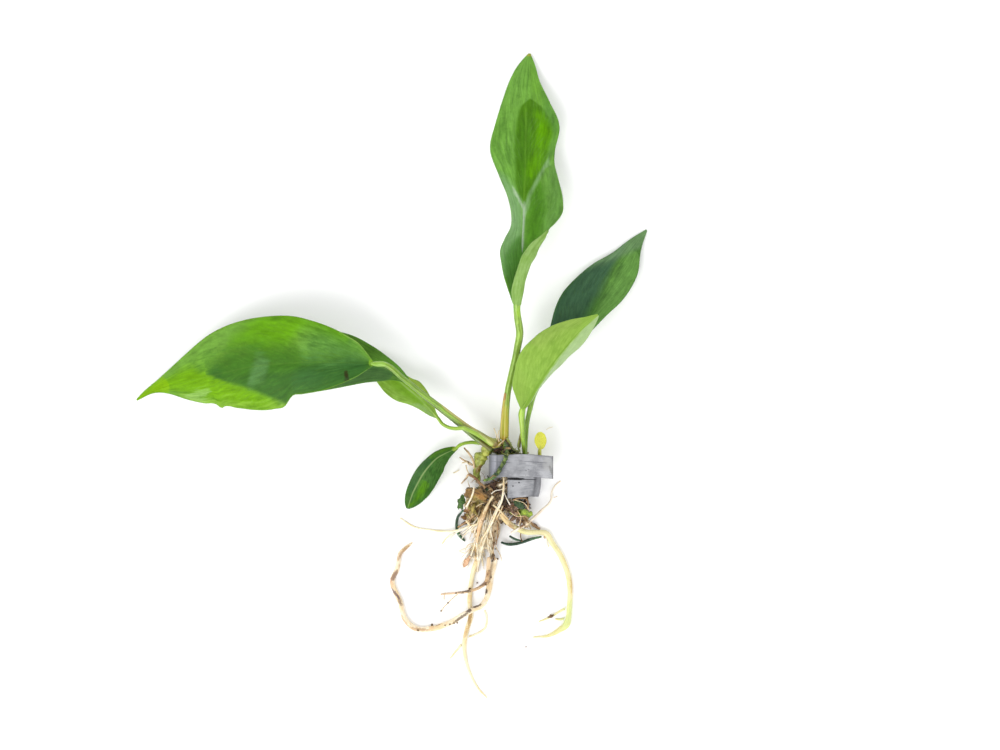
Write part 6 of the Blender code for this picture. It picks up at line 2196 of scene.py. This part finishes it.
ROOTS = (
    strand(
        "hook_root", ROOT_PATCHED, Slot.ROOT_TAN, (-1.9, -37.4, 1.8, 0.95), (-2.2, -40, 1.4, 1),
        (-2.9, -43, 1.2, 1), (-3.9, -48.2, 1.2, 1), (-4.9, -52.2, 1.7, 0.95), (-6.5, -54.3, 2.5, 0.95),
        (-9.5, -55.7, 3.1, 0.95), (-12.6, -57.4, 2.8, 0.95), (-16.8, -60, 1.5, 0.95),
        (-20.8, -61.7, 1, 0.95), (-24.9, -62.6, 1, 0.95), (-28.5, -62.6, 1, 0.95), (-31.6, -61.1, 1, 0.95),
        (-33.7, -58, 1, 0.9), (-34.7, -53.6, 1, 0.85), (-36.2, -50.3, 1, 0.85), (-37.5, -47.2, 1, 0.85),
        (-37.5, -44.9, 1, 0.85), (-36.2, -42.1, 1, 0.85), (-35.5, -39, 1, 0.8), (-35, -36.4, 0.9, 0.75),
        (-33.2, -34.4, 0.8, 0.65), (-30.6, -32.3, 0.6, 0.3), sides=18, step=0.45, lumps=0.16, lump_length=2,
    ),
    strand(
        "centre_root", ROOT_CENTRE, Slot.ROOT_IVORY, (-7.8, -37.4, 1.6, 0.85), (-8.3, -39.4, 1.3, 0.85),
        (-9.1, -41.6, 1, 0.85), (-10.1, -46.6, 0.9, 0.8), (-10.6, -53.4, 0.85, 0.8),
        (-10.3, -58.5, 0.85, 0.8), (-11.5, -62.6, 0.85, 0.8), (-12.4, -66.8, 0.8, 0.75),
        (-11.9, -73.8, 0.65, 0.6), (-10.1, -79, 0.5, 0.45), (-7.5, -83.6, 0.4, 0.35),
        (-4.4, -86.9, 0.3, 0.2), sides=16, lumps=0.07,
    ),
    strand(
        "centre_root_branch", ROOT_IVORY, Slot.ROOT_IVORY, (-13.5, -68, 0.5, 0.4), (-15.2, -70.1, 0.4, 0.35),
        (-17.5, -73, 0.3, 0.2),
    ),
    strand(
        "loop_rootlet", ROOT_IVORY, Slot.ROOT_IVORY, (-5.4, -55.9, 0.7, 0.35), (-4.7, -58.4, 0.45, 0.4),
        (-5.1, -62.1, 0.45, 0.4), (-7.5, -64, 0.45, 0.4), (-10.9, -65.4, 0.45, 0.3),
    ),
    strand(
        "brown_root", ROOT_BROWN, Slot.ROOT_BROWN, (-3.9, -37.2, 3.6, 0.7), (-4, -40.2, 3.5, 0.75),
        (-4.2, -43, 3.5, 0.7), (-4.9, -46, 3.4, 0.65), (-7.5, -48.1, 3.2, 0.55), (-11.6, -49.4, 2.6, 0.5),
        (-15.7, -50, 1.2, 0.4), (-20.9, -50.5, 0.4, 0.25),
    ),
    strand(
        "right_root", ROOT_YELLOW_GREEN, Slot.ROOT_YELLOW, (0, -21.2, 9, 0.95), (2.3, -24.6, 7.4, 0.95),
        (6.1, -27.3, 4.8, 0.95), (9.2, -28.6, 2.9, 0.9), (13.5, -28.7, 1.4, 0.85), (16.1, -29.2, 1.1, 1),
        (18.2, -32.3, 1.1, 0.95), (20.6, -36, 1, 0.95), (22.7, -40.5, 1, 0.95), (24.1, -45.1, 1, 0.9),
        (24.5, -49.3, 1, 0.9), (24.3, -54.4, 1, 0.9), (24, -58.2, 1.1, 0.95), (23.4, -60.8, 1.3, 1.25),
        (20.7, -63, 1, 0.95), (17.1, -64.9, 0.6, 0.55), (11.5, -65.5, 0.3, 0.2), sides=18, step=0.5,
        lumps=0.08, lump_length=3,
    ),
    strand(
        "right_root_upper_branch", ROOT_YELLOW_GREEN, Slot.ROOT_YELLOW, (22.8, -55.4, 0.8, 0.4),
        (20.6, -56.6, 0.5, 0.35), (18.2, -58.1, 0.5, 0.4), (13.5, -60.1, 0.3, 0.2),
    ),
    strand(
        "right_root_lower_branch", ROOT_YELLOW_GREEN, Slot.ROOT_YELLOW, (22.5, -58.9, 0.7, 0.35),
        (21.2, -59.3, 0.45, 0.35), (19.2, -59.1, 0.3, 0.2),
    ),
    strand(
        "root_over_weight", FIBRE_CREAM, Slot.ROOT_IVORY, (1.3, -9, 9.9, 0.4), (1.3, -12.4, 10.1, 0.5),
        (0.6, -17.2, 10.4, 0.5), (-1.2, -21.4, 9.9, 0.5), (-2.8, -25.1, 8.4, 0.5), (-5.2, -29.2, 6.4, 0.45),
        (-6.6, -31.2, 5.6, 0.35), squash=(0.75, 0.9),
    ),
    strand(
        "short_root_left", FIBRE_CREAM, Slot.ROOT_IVORY, (-8.9, -12.6, 8, 0.4), (-10.1, -16.2, 8.6, 0.4),
        (-11.6, -20.4, 8.2, 0.25), squash=(0.75, 0.9),
    ),
    strand(
        "root_upper_right", ROOT_PALE, Slot.ROOT_TAN, (3.7, -28.9, 6.2, 0.45), (9.4, -25.4, 6.5, 0.45),
        (14.5, -21, 3, 0.45), (17.8, -17.6, 1.3, 0.4), (18.2, -14.4, 0.8, 0.35), (19.6, -12.2, 0.5, 0.3),
        (21.3, -10.8, 0.35, 0.2),
    ),
    strand(
        "root_upper_right_fork", ROOT_PALE, Slot.ROOT_TAN, (18.8, -16.8, 0.9, 0.25), (20.2, -16.2, 0.5, 0.2),
    ),
    strand(
        "long_thin_root_left", ROOT_IVORY, Slot.ROOT_IVORY, (-8.6, -25.2, 5.8, 0.4),
        (-12.6, -27.2, 3.2, 0.4), (-15.4, -28.2, 1.9, 0.4), (-19.9, -28.4, 0.6, 0.35),
        (-24.8, -27.9, 0.4, 0.3), (-29.7, -27, 0.35, 0.28), (-35.1, -23.8, 0.35, 0.3),
    ),
    strand(
        "long_thin_root_left_fork", ROOT_IVORY, Slot.ROOT_IVORY, (-16.2, -29.1, 1.3, 0.25),
        (-18.5, -30.6, 0.6, 0.25), (-20.4, -33, 0.3, 0.2),
    ),
    strand(
        "orange_root", ROOT_ORANGE, Slot.ROOT_ORANGE, (-4.2, -18.8, 8.9, 0.7), (-5.7, -22.4, 8, 0.85),
        (-6.9, -26, 6.9, 0.85), (-7.7, -29.9, 5.8, 0.6), (-8, -32.4, 4.4, 0.4), sides=16, step=0.35,
        lumps=0.2, squash=(0.85, 0.95),
    ),
    strand(
        "side_root_top", ROOT_BROWN, Slot.ROOT_BROWN, (-8.9, -6.3, 5.6, 0.35), (-9.4, -3.6, 4.6, 0.4),
        (-10.7, -1.3, 3.8, 0.35), (-12.6, 0.9, 3, 0.25), **SIDE_ROOT,
    ),
    strand(
        "side_root_middle", ROOT_BROWN, Slot.ROOT_BROWN, (-9.5, -5.3, 3.2, 0.4), (-11.2, -4.1, 2.4, 0.35),
        (-12.6, -3.6, 1.5, 0.3), (-14.2, -2.5, 0.9, 0.2), **SIDE_ROOT,
    ),
    strand(
        "side_root_bottom", ROOT_BROWN, Slot.ROOT_BROWN, (-9.9, -9.2, 3.8, 0.35), (-11, -8.6, 2.8, 0.35),
        (-11.9, -9.9, 1.4, 0.3), (-13.6, -11.8, 0.5, 0.2), **SIDE_ROOT,
    ),
    strand(
        "green_strand_left", STRAND_GREEN, Slot.GREEN_STRAND, (-12.8, -20.8, 6.6, 0.3),
        (-14.8, -23.7, 2.6, 0.5), (-15.2, -26.2, 0.9, 0.5), (-14.2, -29.8, 0.5, 0.5),
        (-12.2, -31.9, 0.5, 0.3), **THIN_STRAND,
    ),
    strand(
        "green_strand_arc", STRAND_GREEN, Slot.GREEN_STRAND, (0.3, -32.2, 1.6, 0.4), (3, -33, 1, 0.5),
        (7, -32.5, 0.9, 0.5), (11, -31.1, 1, 0.5), (14.5, -30.2, 3, 0.35), **THIN_STRAND,
    ),
    strand(
        "green_strand_short", STRAND_GREEN, Slot.GREEN_STRAND, (3.2, -29.9, 3.6, 0.4), (5.1, -31, 2.9, 0.4),
        (8, -31.8, 2.3, 0.3), **THIN_STRAND,
    ),
    strand(
        "green_strand_over_weight", STRAND_OVER, Slot.GREEN_STRAND, (1.5, 3.2, 10.2, 0.35),
        (2.1, 1, 12, 0.5), (2.2, -1.6, 12.9, 0.55), (1.6, -3.5, 12.9, 0.55), (0.3, -5.6, 12.9, 0.55),
        (-0.8, -7.7, 12.8, 0.5), (-2.8, -9.4, 12.4, 0.45), (-5.9, -10.4, 10.2, 0.3), sides=16, step=0.25,
        lumps=0.5, lump_length=0.9, squash=(1.15, 0.5),
    ),
)

TOP_ROOTS = ("root_over_weight_strand", "short_root_left_strand", "orange_root_strand", "right_root_strand")

# Shreds on the tangle

SHREDS = (
    Shred("brown_leaf_scrap", (-8.4, -15.4, 9.4), 3.8, 2.3, -20, 0.9, 6, BROWN_LEAF, Slot.BROWN_SCRAP),
    Shred("green_scrap_left", (-13.4, -17.9, 7.4), 2.4, 1.2, 75, 0.4, -12, GREEN_SHRED, Slot.GREEN_SCRAP),
    Shred("green_scrap_upper_right", (6.6, -18.8, 8.8), 2, 1.1, -35, 0.4, 8, MOSS_SHRED, Slot.GREEN_SCRAP),
    Shred(
        "green_scrap_lower_right", (9.4, -21.8, 8.2), 1.9, 1.2, -15, 0.3, -10, LIME_SHRED, Slot.GREEN_SCRAP,
    ),
    Shred("orange_root_scrap", (-11.6, -39, 0.9), 2.2, 0.8, 60, 0.3, 0, ORANGE_SHRED, Slot.ROOT_ORANGE),
)

LITTER = (
    Litter(
        "brown_litter_left", (-12, -25), (-6, -16), 6, BROWN_SHRED, Slot.BROWN_SCRAP, seed=11,
        places=(
            (-11.1, -21.4, 1.4), (-11.8, -23.5, 1.05), (-10.4, -24.5, 1.05), (-12.5, -25.6, 0.88),
            (-13.6, -26.2, 0.7),
        ),
    ),
    Litter(
        "olive_litter_left", (-12, -26), (-6, -17), 4, OLIVE_SHRED, Slot.GREEN_SCRAP, seed=12,
        places=(
            (-9.4, -20, 1.75), (-8, -18.9, 1.4), (-6.6, -20.3, 1.05), (-8.7, -21.4, 1.4),
            (-10.4, -19.3, 1.4), (-7.3, -18.3, 1.05),
        ),
    ),
    Litter(
        "pinkish_litter_right", (3.5, -24), (9, -18), 4, PINK_SHRED, Slot.BROWN_SCRAP, seed=13,
        places=(
            (3.8, -19.3, 1.4), (5.6, -20, 1.4), (4.2, -21, 1.05), (6.3, -19.3, 1.05), (8.3, -24.5, 0.88),
            (6.6, -23.5, 1.05), (5.9, -25.2, 0.88), (7.6, -26.2, 0.88), (12.2, -26.2, 1.05),
        ),
    ),
    Litter(
        "moss_litter", (-8, -17), (-5, -12), 2, MOSS_SHRED, Slot.GREEN_SCRAP, seed=14,
        places=(
            (6.6, -17.9, 1.22), (7.6, -18.9, 1.05), (5.2, -17.2, 0.7), (-7.3, -13.7, 1.22),
            (-5.9, -15.5, 1.05), (2.4, 1.6, 1.05), (3.5, 0.2, 1.05), (4.9, -0.5, 0.88), (1.7, -0.1, 0.7),
            (2.1, -2.2, 0.56), (1, -3.9, 0.56), (0, -6, 0.63), (-1.4, -8.1, 0.7), (-4.2, -9.4, 0.56),
        ),
    ),
    Litter(
        "lime_litter", (-8, -19), (-6, -17), 1, LIME_SHRED, Slot.GREEN_SCRAP, seed=15,
        places=((7.6, -21, 1.4), (7, -22.4, 1.05), (8.7, -21.7, 0.88), (3.8, -21.4, 0.88), (1.4, -7.5, 0.7)),
    ),
    Litter(
        "dark_litter", (-4, -16), (2, -10), 8, DARK_SHRED, Slot.BROWN_SCRAP, seed=16,
        places=(
            (9, -17.6, 1.4), (9.7, -18.9, 1.05), (8, -16.5, 1.05), (6.6, -16.5, 0.88), (10.4, -20, 0.7),
            (0.3, 0.5, 1.05), (-1, 0.2, 1.05), (1.4, -0.5, 1.05),
        ),
    ),
    Litter(
        "tan_litter", (-9, -20), (-7, -18), 2, TAN_SHRED, Slot.SHEATH, seed=17,
        places=(
            (9.4, -22.4, 1.05), (10.1, -23.5, 0.88), (9, -24.2, 0.7), (0.7, 2.3, 1.05), (2.8, 0.9, 0.88),
            (-0.7, 3.3, 0.88), (9.4, -0.9, 0.7), (-9, -18.9, 0.88),
        ),
    ),
)
CRUMBS = (
    Crumbs(
        "tangle_crumbs", (-12, -26), (10, -10), 110, seed=21,
        places=(
            (17.8, -58.1, 0.77), (17.1, -58.4, 0.49), (18.5, -57.7, 0.42), (9.1, -68.9, 0.35),
            (-19.2, -61.2, 0.42), (-17.5, -60.9, 0.35), (-16.1, -60.5, 0.42), (-15, -60.5, 0.35),
            (-8, -46.5, 0.42), (-20.6, -56.3, 0.42), (-18.2, -53.5, 0.42), (-15.4, -50, 0.35),
            (-10.5, -48.6, 0.52), (-28.7, -63, 0.49), (-23.8, -61.2, 0.42), (9.4, -19.2, 0.49),
            (-3.1, -26.9, 0.49), (-1.8, -28.3, 0.56), (-3.5, -30.8, 0.45), (-2.1, -32.5, 0.56),
            (-1.4, -34.6, 0.42), (-2.4, -36.8, 0.56), (-1, -38.1, 0.49), (-2.8, -38.8, 0.42),
            (-3.8, -42, 0.42), (-3.1, -44.4, 0.39), (-4.9, -46.9, 0.39), (-2.4, -30.4, 0.42),
            (-3.8, -33.9, 0.39), (-4.2, -28.7, 0.42), (-7, -21.7, 0.45), (1, -19.9, 0.52),
        ),
    ),
)


def thread(radius: float, level: float, *points: Row) -> tuple[Row, ...]:
    """A thread placed through given points x, y and, where it isn't on the level, their own height."""
    return tuple((x, y, *(own or (level,)), radius) for x, y, *own in points)


FIBRES = (
    Fibres(
        "pale_fibres", ((-4.5, -18, 2.5), (-6, -24, 3), (-7, -29, 2.8), (-7.6, -32, 2.6)), 46, FIBRE_PALE,
        Slot.ROOT_IVORY, length=(6, 13), radius=(0.1, 0.24), spread=8, wander=5, lift=(0, 0.9), seed=1,
        extra=(
            thread(0.42, 9, (4.5, -8.5), (3.1, -10.2), (1.4, -11.3), (-0.3, -12)),
            thread(0.16, 9, (-3.1, -15.1), (-1.7, -14), (-0.3, -13.7), (1, -13.4), (2.1, -13)),
            thread(0.22, 9, (1.4, -14.4), (2.1, -16.1), (2.8, -17.5), (3.5, -18.9)),
            thread(0.2, 2, (-7, -31.4), (-9.1, -32.5), (-11.2, -33.2), (-12.2, -34.9)),
            thread(0.18, 1, (-7.7, -33.6), (-10.5, -34.6), (-12.2, -36), (-14.3, -35.3)),
            thread(0.18, 1, (-5.6, -35.6), (-7.7, -37.4), (-9.8, -37.7), (-11.9, -37.4)),
            thread(0.22, 1, (15.7, -30.1), (16.4, -31.5), (16.4, -32.5), (17.1, -33.9)),
            thread(
                0.42, 6, (-3.1, -25.6), (-4.9, -29.9, 4.5), (-6.3, -34.2, 2.5), (-7.3, -38.4, 1.2),
                (-8, -42.6, 0.9),
            ),
            thread(0.36, 6.5, (-4.2, -24.9), (-5.6, -29.2, 5), (-6.6, -33.5, 3), (-8, -38.4, 1)),
            thread(0.3, 5, (-4.2, -27.8), (-5.6, -32, 4), (-6.3, -36.3, 2.6), (-5.9, -40.5, 1.2)),
            thread(0.3, 7, (-5.2, -24.2), (-7, -28.5, 5), (-8.7, -32.8, 3), (-10.1, -37, 1.2)),
            thread(0.12, 1, (16.1, 7), (17.1, 7.7, 0.6), (18.5, 8.1, 0.3)),
            thread(0.3, 11.2, (-9, -12.6), (-9.4, -14.7, 11.3), (-10.4, -17.1, 10.6), (-11.8, -19.6, 8.5)),
            thread(0.2, 3.4, (-10.1, -26.5), (-12.2, -27.2, 2.2), (-14.7, -28.3, 1.2), (-16.8, -29.4, 0.5)),
            thread(0.18, 1.6, (-13.3, -27.9), (-15.4, -29, 0.8), (-17.5, -31.1, 0.3)),
            thread(0.22, 9.5, (0, -17.2), (-1.4, -20.6), (-3.1, -24.2, 8), (-4.5, -27.7, 6)),
        ),
    ),
    Fibres(
        "tan_fibres", ((-3, -16, 4), (-4.5, -24, 5), (-5.6, -30.5, 3.6)), 52, FIBRE_TAN, Slot.ROOT_TAN,
        length=(4, 10), spread=8, wander=5, lift=(0, 0.7), seed=2,
        extra=(
            thread(
                0.4, 7, (-11.8, -24.2), (-10.4, -25.9), (-8, -25.6), (-7, -23.5), (-5.6, -21.4),
                (-4.5, -19.7),
            ),
            thread(0.2, 8, (-8.3, -19.6), (-7.3, -18.9), (-4.9, -17.9), (-2.8, -17.2)),
            thread(0.14, 9, (5.9, -20.6), (7.3, -23.4), (6.6, -25.9)),
            thread(0.14, 9, (5.2, -17.2), (8.3, -18.2), (10.4, -21)),
            thread(0.14, 8, (3.5, -21.4), (5.6, -22.8), (8.7, -22.8)),
            thread(0.3, 9.6, (-2.4, -18.9), (-0.7, -20.2, 10.4), (1, -22, 9.8), (2.8, -23.8, 8.8)),
            thread(0.22, 9.4, (1, -19.2), (0, -21.3, 10.4), (-1.4, -23.8, 9)),
            thread(0.2, 3, (9.4, -24.4), (10.1, -26.2, 1.5), (10.8, -27.6, 0.5)),
            thread(0.2, 2, (10.1, -25.1), (10.8, -25.9, 1), (11.9, -26.9, 0.5)),
            thread(0.5, 9, (-2.4, -15.8), (-3.8, -17.9), (-4.9, -20), (-5.9, -22)),
            thread(0.3, 4, (-8.7, -27.1), (-8.4, -30.3, 3), (-8.4, -33.2, 2), (-8.7, -38.5, 0.8)),
            thread(0.15, 9, (-2.1, 7.8), (-1.4, 5.8), (-1, 3.7)),
            thread(0.15, 9, (-0.3, 7.1), (-0.7, 5.1), (-0.3, 3)),
            thread(0.15, 0.6, (-19.2, -50), (-19.6, -51.4, 0.4), (-19.6, -52.5, 0.3)),
            thread(
                0.15, 0.3, (-14.7, -50.3, 0.8), (-16.4, -51.8, 0.5), (-17.5, -52.8), (-18.5, -53.9),
                (-19.6, -54.9), (-20.6, -56.7),
            ),
            thread(0.2, 9, (-0.7, 1.6), (0.7, 3), (1.7, 3.7)),
            thread(0.15, 1, (-14.3, -7), (-15.4, -7.7, 0.4), (-16.4, -8, 0.3)),
            thread(0.2, 3, (-13.3, -4.5), (-11.9, -4.1), (-10.5, -5.2)),
            thread(0.18, 3, (-11.9, -5.2), (-11.5, -6.9), (-10.8, -8.3)),
        ),
    ),
    Fibres(
        "brown_fibres", ((-4, -10, 4), (-3, -16, 5), (-3, -21, 5)), 50, FIBRE_BROWN, Slot.ROOT_BROWN,
        length=(2.5, 7), spread=45, seed=3,
        extra=(
            thread(0.22, 3, (6.6, -24.7), (7.3, -27.9, 1.5), (7.3, -30.8, 0.8), (7.7, -31.8, 0.5)),
            thread(0.25, 3, (-2.8, -28.5, 4), (-2.1, -32, 3.4), (-2.4, -35.5), (-1.7, -38.3)),
            thread(0.2, 6, (-1, -24.9), (-0.7, -28.5, 4.6), (-1.4, -33.1, 3.8)),
            thread(0.2, 4, (-8.4, -27.8), (-8.7, -31.3, 3.4), (-8, -35.6, 2)),
            thread(0.4, 1, (10.5, -25.2), (12.6, -26.9, 0.8), (14, -27.6, 0.6)),
            thread(0.42, 1.6, (15.7, -28.6), (15.7, -30.8, 0.7)),
            thread(0.35, 8, (9, -16.5), (9.7, -17.9), (9.7, -19.6), (8.7, -21.4), (9.4, -23.5)),
            thread(0.3, 9, (4.5, -17.2), (6.6, -16.5), (9, -16.5)),
            thread(0.3, 2, (-14.7, -26.9), (-12.9, -25.7, 4), (-10.8, -24.3, 5.5), (-9, -22.5, 7)),
            thread(0.5, 5, (-10.8, -8.3), (-8.7, -9.6, 7), (-7, -11.3, 8), (-5.2, -13, 9)),
        ),
    ),
    Fibres(
        "dark_fibres", ((-3.5, -10, 3), (0, -15, 3), (0, -19, 3)), 34, FIBRE_DARK, Slot.ROOT_BROWN,
        length=(2, 6), spread=60, seed=4,
        extra=(
            thread(0.35, 9, (-6.6, -12.3), (-4.9, -14.4), (-3.5, -16.5)),
            thread(0.3, 9, (1.7, 3.7), (3.1, 1.6), (4.5, -0.2)),
            thread(0.3, 9, (0.7, -1.2), (2.1, 0.9), (3.1, 3)),
        ),
    ),
    Fibres(
        "olive_fibres", ((0, 1.5, 1), (3, -0.5, 1), (6, -2, 0.8)), 14, ROOT_OLIVE, Slot.STALK,
        length=(1.5, 3.5), radius=(0.12, 0.25), spread=50, seed=8,
        extra=(
            thread(0.45, 9, (2.4, 4.4), (3.5, 2.3), (4.5, 0.5), (6.6, -0.5)),
            thread(0.3, 9, (6.6, 3.7), (6.3, 1.6), (6.9, -0.5)),
        ),
    ),
    Fibres(
        "right_lobe_fibres", ((2.5, -18, 2.5), (6, -22, 3), (9, -25, 2)), 36, FIBRE_BROWN, Slot.ROOT_BROWN,
        length=(2, 5), spread=60, seed=5,
    ),
    Fibres(
        "left_lobe_fibres", ((-6, -13, 2.5), (-9, -19, 3), (-9, -26, 2.5)), 30, FIBRE_TAN, Slot.ROOT_TAN,
        length=(2.5, 7), spread=40, seed=6,
    ),
)


# Studio


@dataclass(frozen=True)
class Studio:
    """Pale surface, soft light from the lower left and a camera that looks straight down.

    view is the point above which the camera stands and frame the width of the picture at the surface,
    both in millimetres.
    """

    view: Point = (0.0, 26.25, 0.0)
    height: float = 1200.0
    frame: float = 350.0
    sensor: float = 36.0
    floor_size: float = 3000.0
    key_place: Point = (-500.0, -600.0, 900.0)
    key_size: float = 800.0
    key_power: float = 9.3
    horizon: Colour = (1.86, 1.86, 1.88)
    zenith: Colour = (0.32, 0.32, 0.33)

    def _floor(self) -> None:
        """Lay the surface."""
        body = bmesh.new()
        bmesh.ops.create_grid(body, x_segments=1, y_segments=1, size=0.5 * self.floor_size * MM)
        floor = own_object("pale_surface", body)
        floor.data.materials.append(FloorFinish().material())

    def _key(self) -> None:
        """Hang the large soft lamp and aim it at the plant."""
        lamp = bpy.data.lights.new("soft_key", "AREA")
        lamp.shape = "SQUARE"
        lamp.size = self.key_size * MM
        lamp.energy = self.key_power
        made = bpy.data.objects.new("soft_key", lamp)
        made.location = in_world(self.key_place)
        made.rotation_euler = (in_world((0.0, 20.0, 0.0)) - made.location).to_track_quat("-Z", "Y").to_euler()
        bpy.context.scene.collection.objects.link(made)

    def _sky(self) -> None:
        """Fill the room with soft light: pale walls and a darker ceiling."""
        world = bpy.data.worlds.new("pale_room")
        nodes = Nodes(world)
        split = nodes.node("SeparateXYZ", None, {0: nodes.node("TexCoord").outputs["Generated"]})
        colour = nodes.mix(self.horizon, self.zenith, Value(nodes, split.outputs[2]).between(0.55, 0.97))
        background = nodes.node("Background", None, {"Color": colour})
        nodes.node("OutputWorld", None, {"Surface": background.outputs[0]})
        bpy.context.scene.world = world

    def _camera(self) -> None:
        """Stand the camera above the plant."""
        camera = bpy.data.cameras.new("camera")
        camera.sensor_width = self.sensor
        camera.lens = self.sensor * self.height / self.frame
        camera.clip_end = 10.0
        made = bpy.data.objects.new("camera", camera)
        made.location = in_world((self.view[0], self.view[1], self.height))
        bpy.context.scene.collection.objects.link(made)
        bpy.context.scene.camera = made

    def build(self) -> None:
        """Set up the surface, the light and the camera."""
        self._floor()
        self._key()
        self._sky()
        self._camera()
        bpy.context.scene.view_settings.view_transform = "Standard"


def main() -> None:
    """Build the plant piece by piece."""
    logging.basicConfig(level=logging.INFO, format="%(message)s")
    Studio().build()
    log.info("studio ready")
    for blade in BLADES:
        blade.build()
    for stalk in STALKS:
        stalk.build()
    roots = [strand.build() for strand in (*STEMS, *ROOTS)]
    core = TangleCore().build(TANGLE_DIRT)
    LeadStrip(LEAD_STRIP).build()
    for shred in SHREDS:
        shred.build()
    bpy.context.view_layer.update()
    ground = Ground([core, *(root for root in roots if root.name not in TOP_ROOTS)])
    for fibres in FIBRES:
        fibres.build(ground)
    for litter in LITTER:
        litter.build(ground)
    for crumbs in CRUMBS:
        crumbs.build(ground, CRUMB_DIRT)
    bpy.context.view_layer.update()


if __name__ == "__main__":
    main()
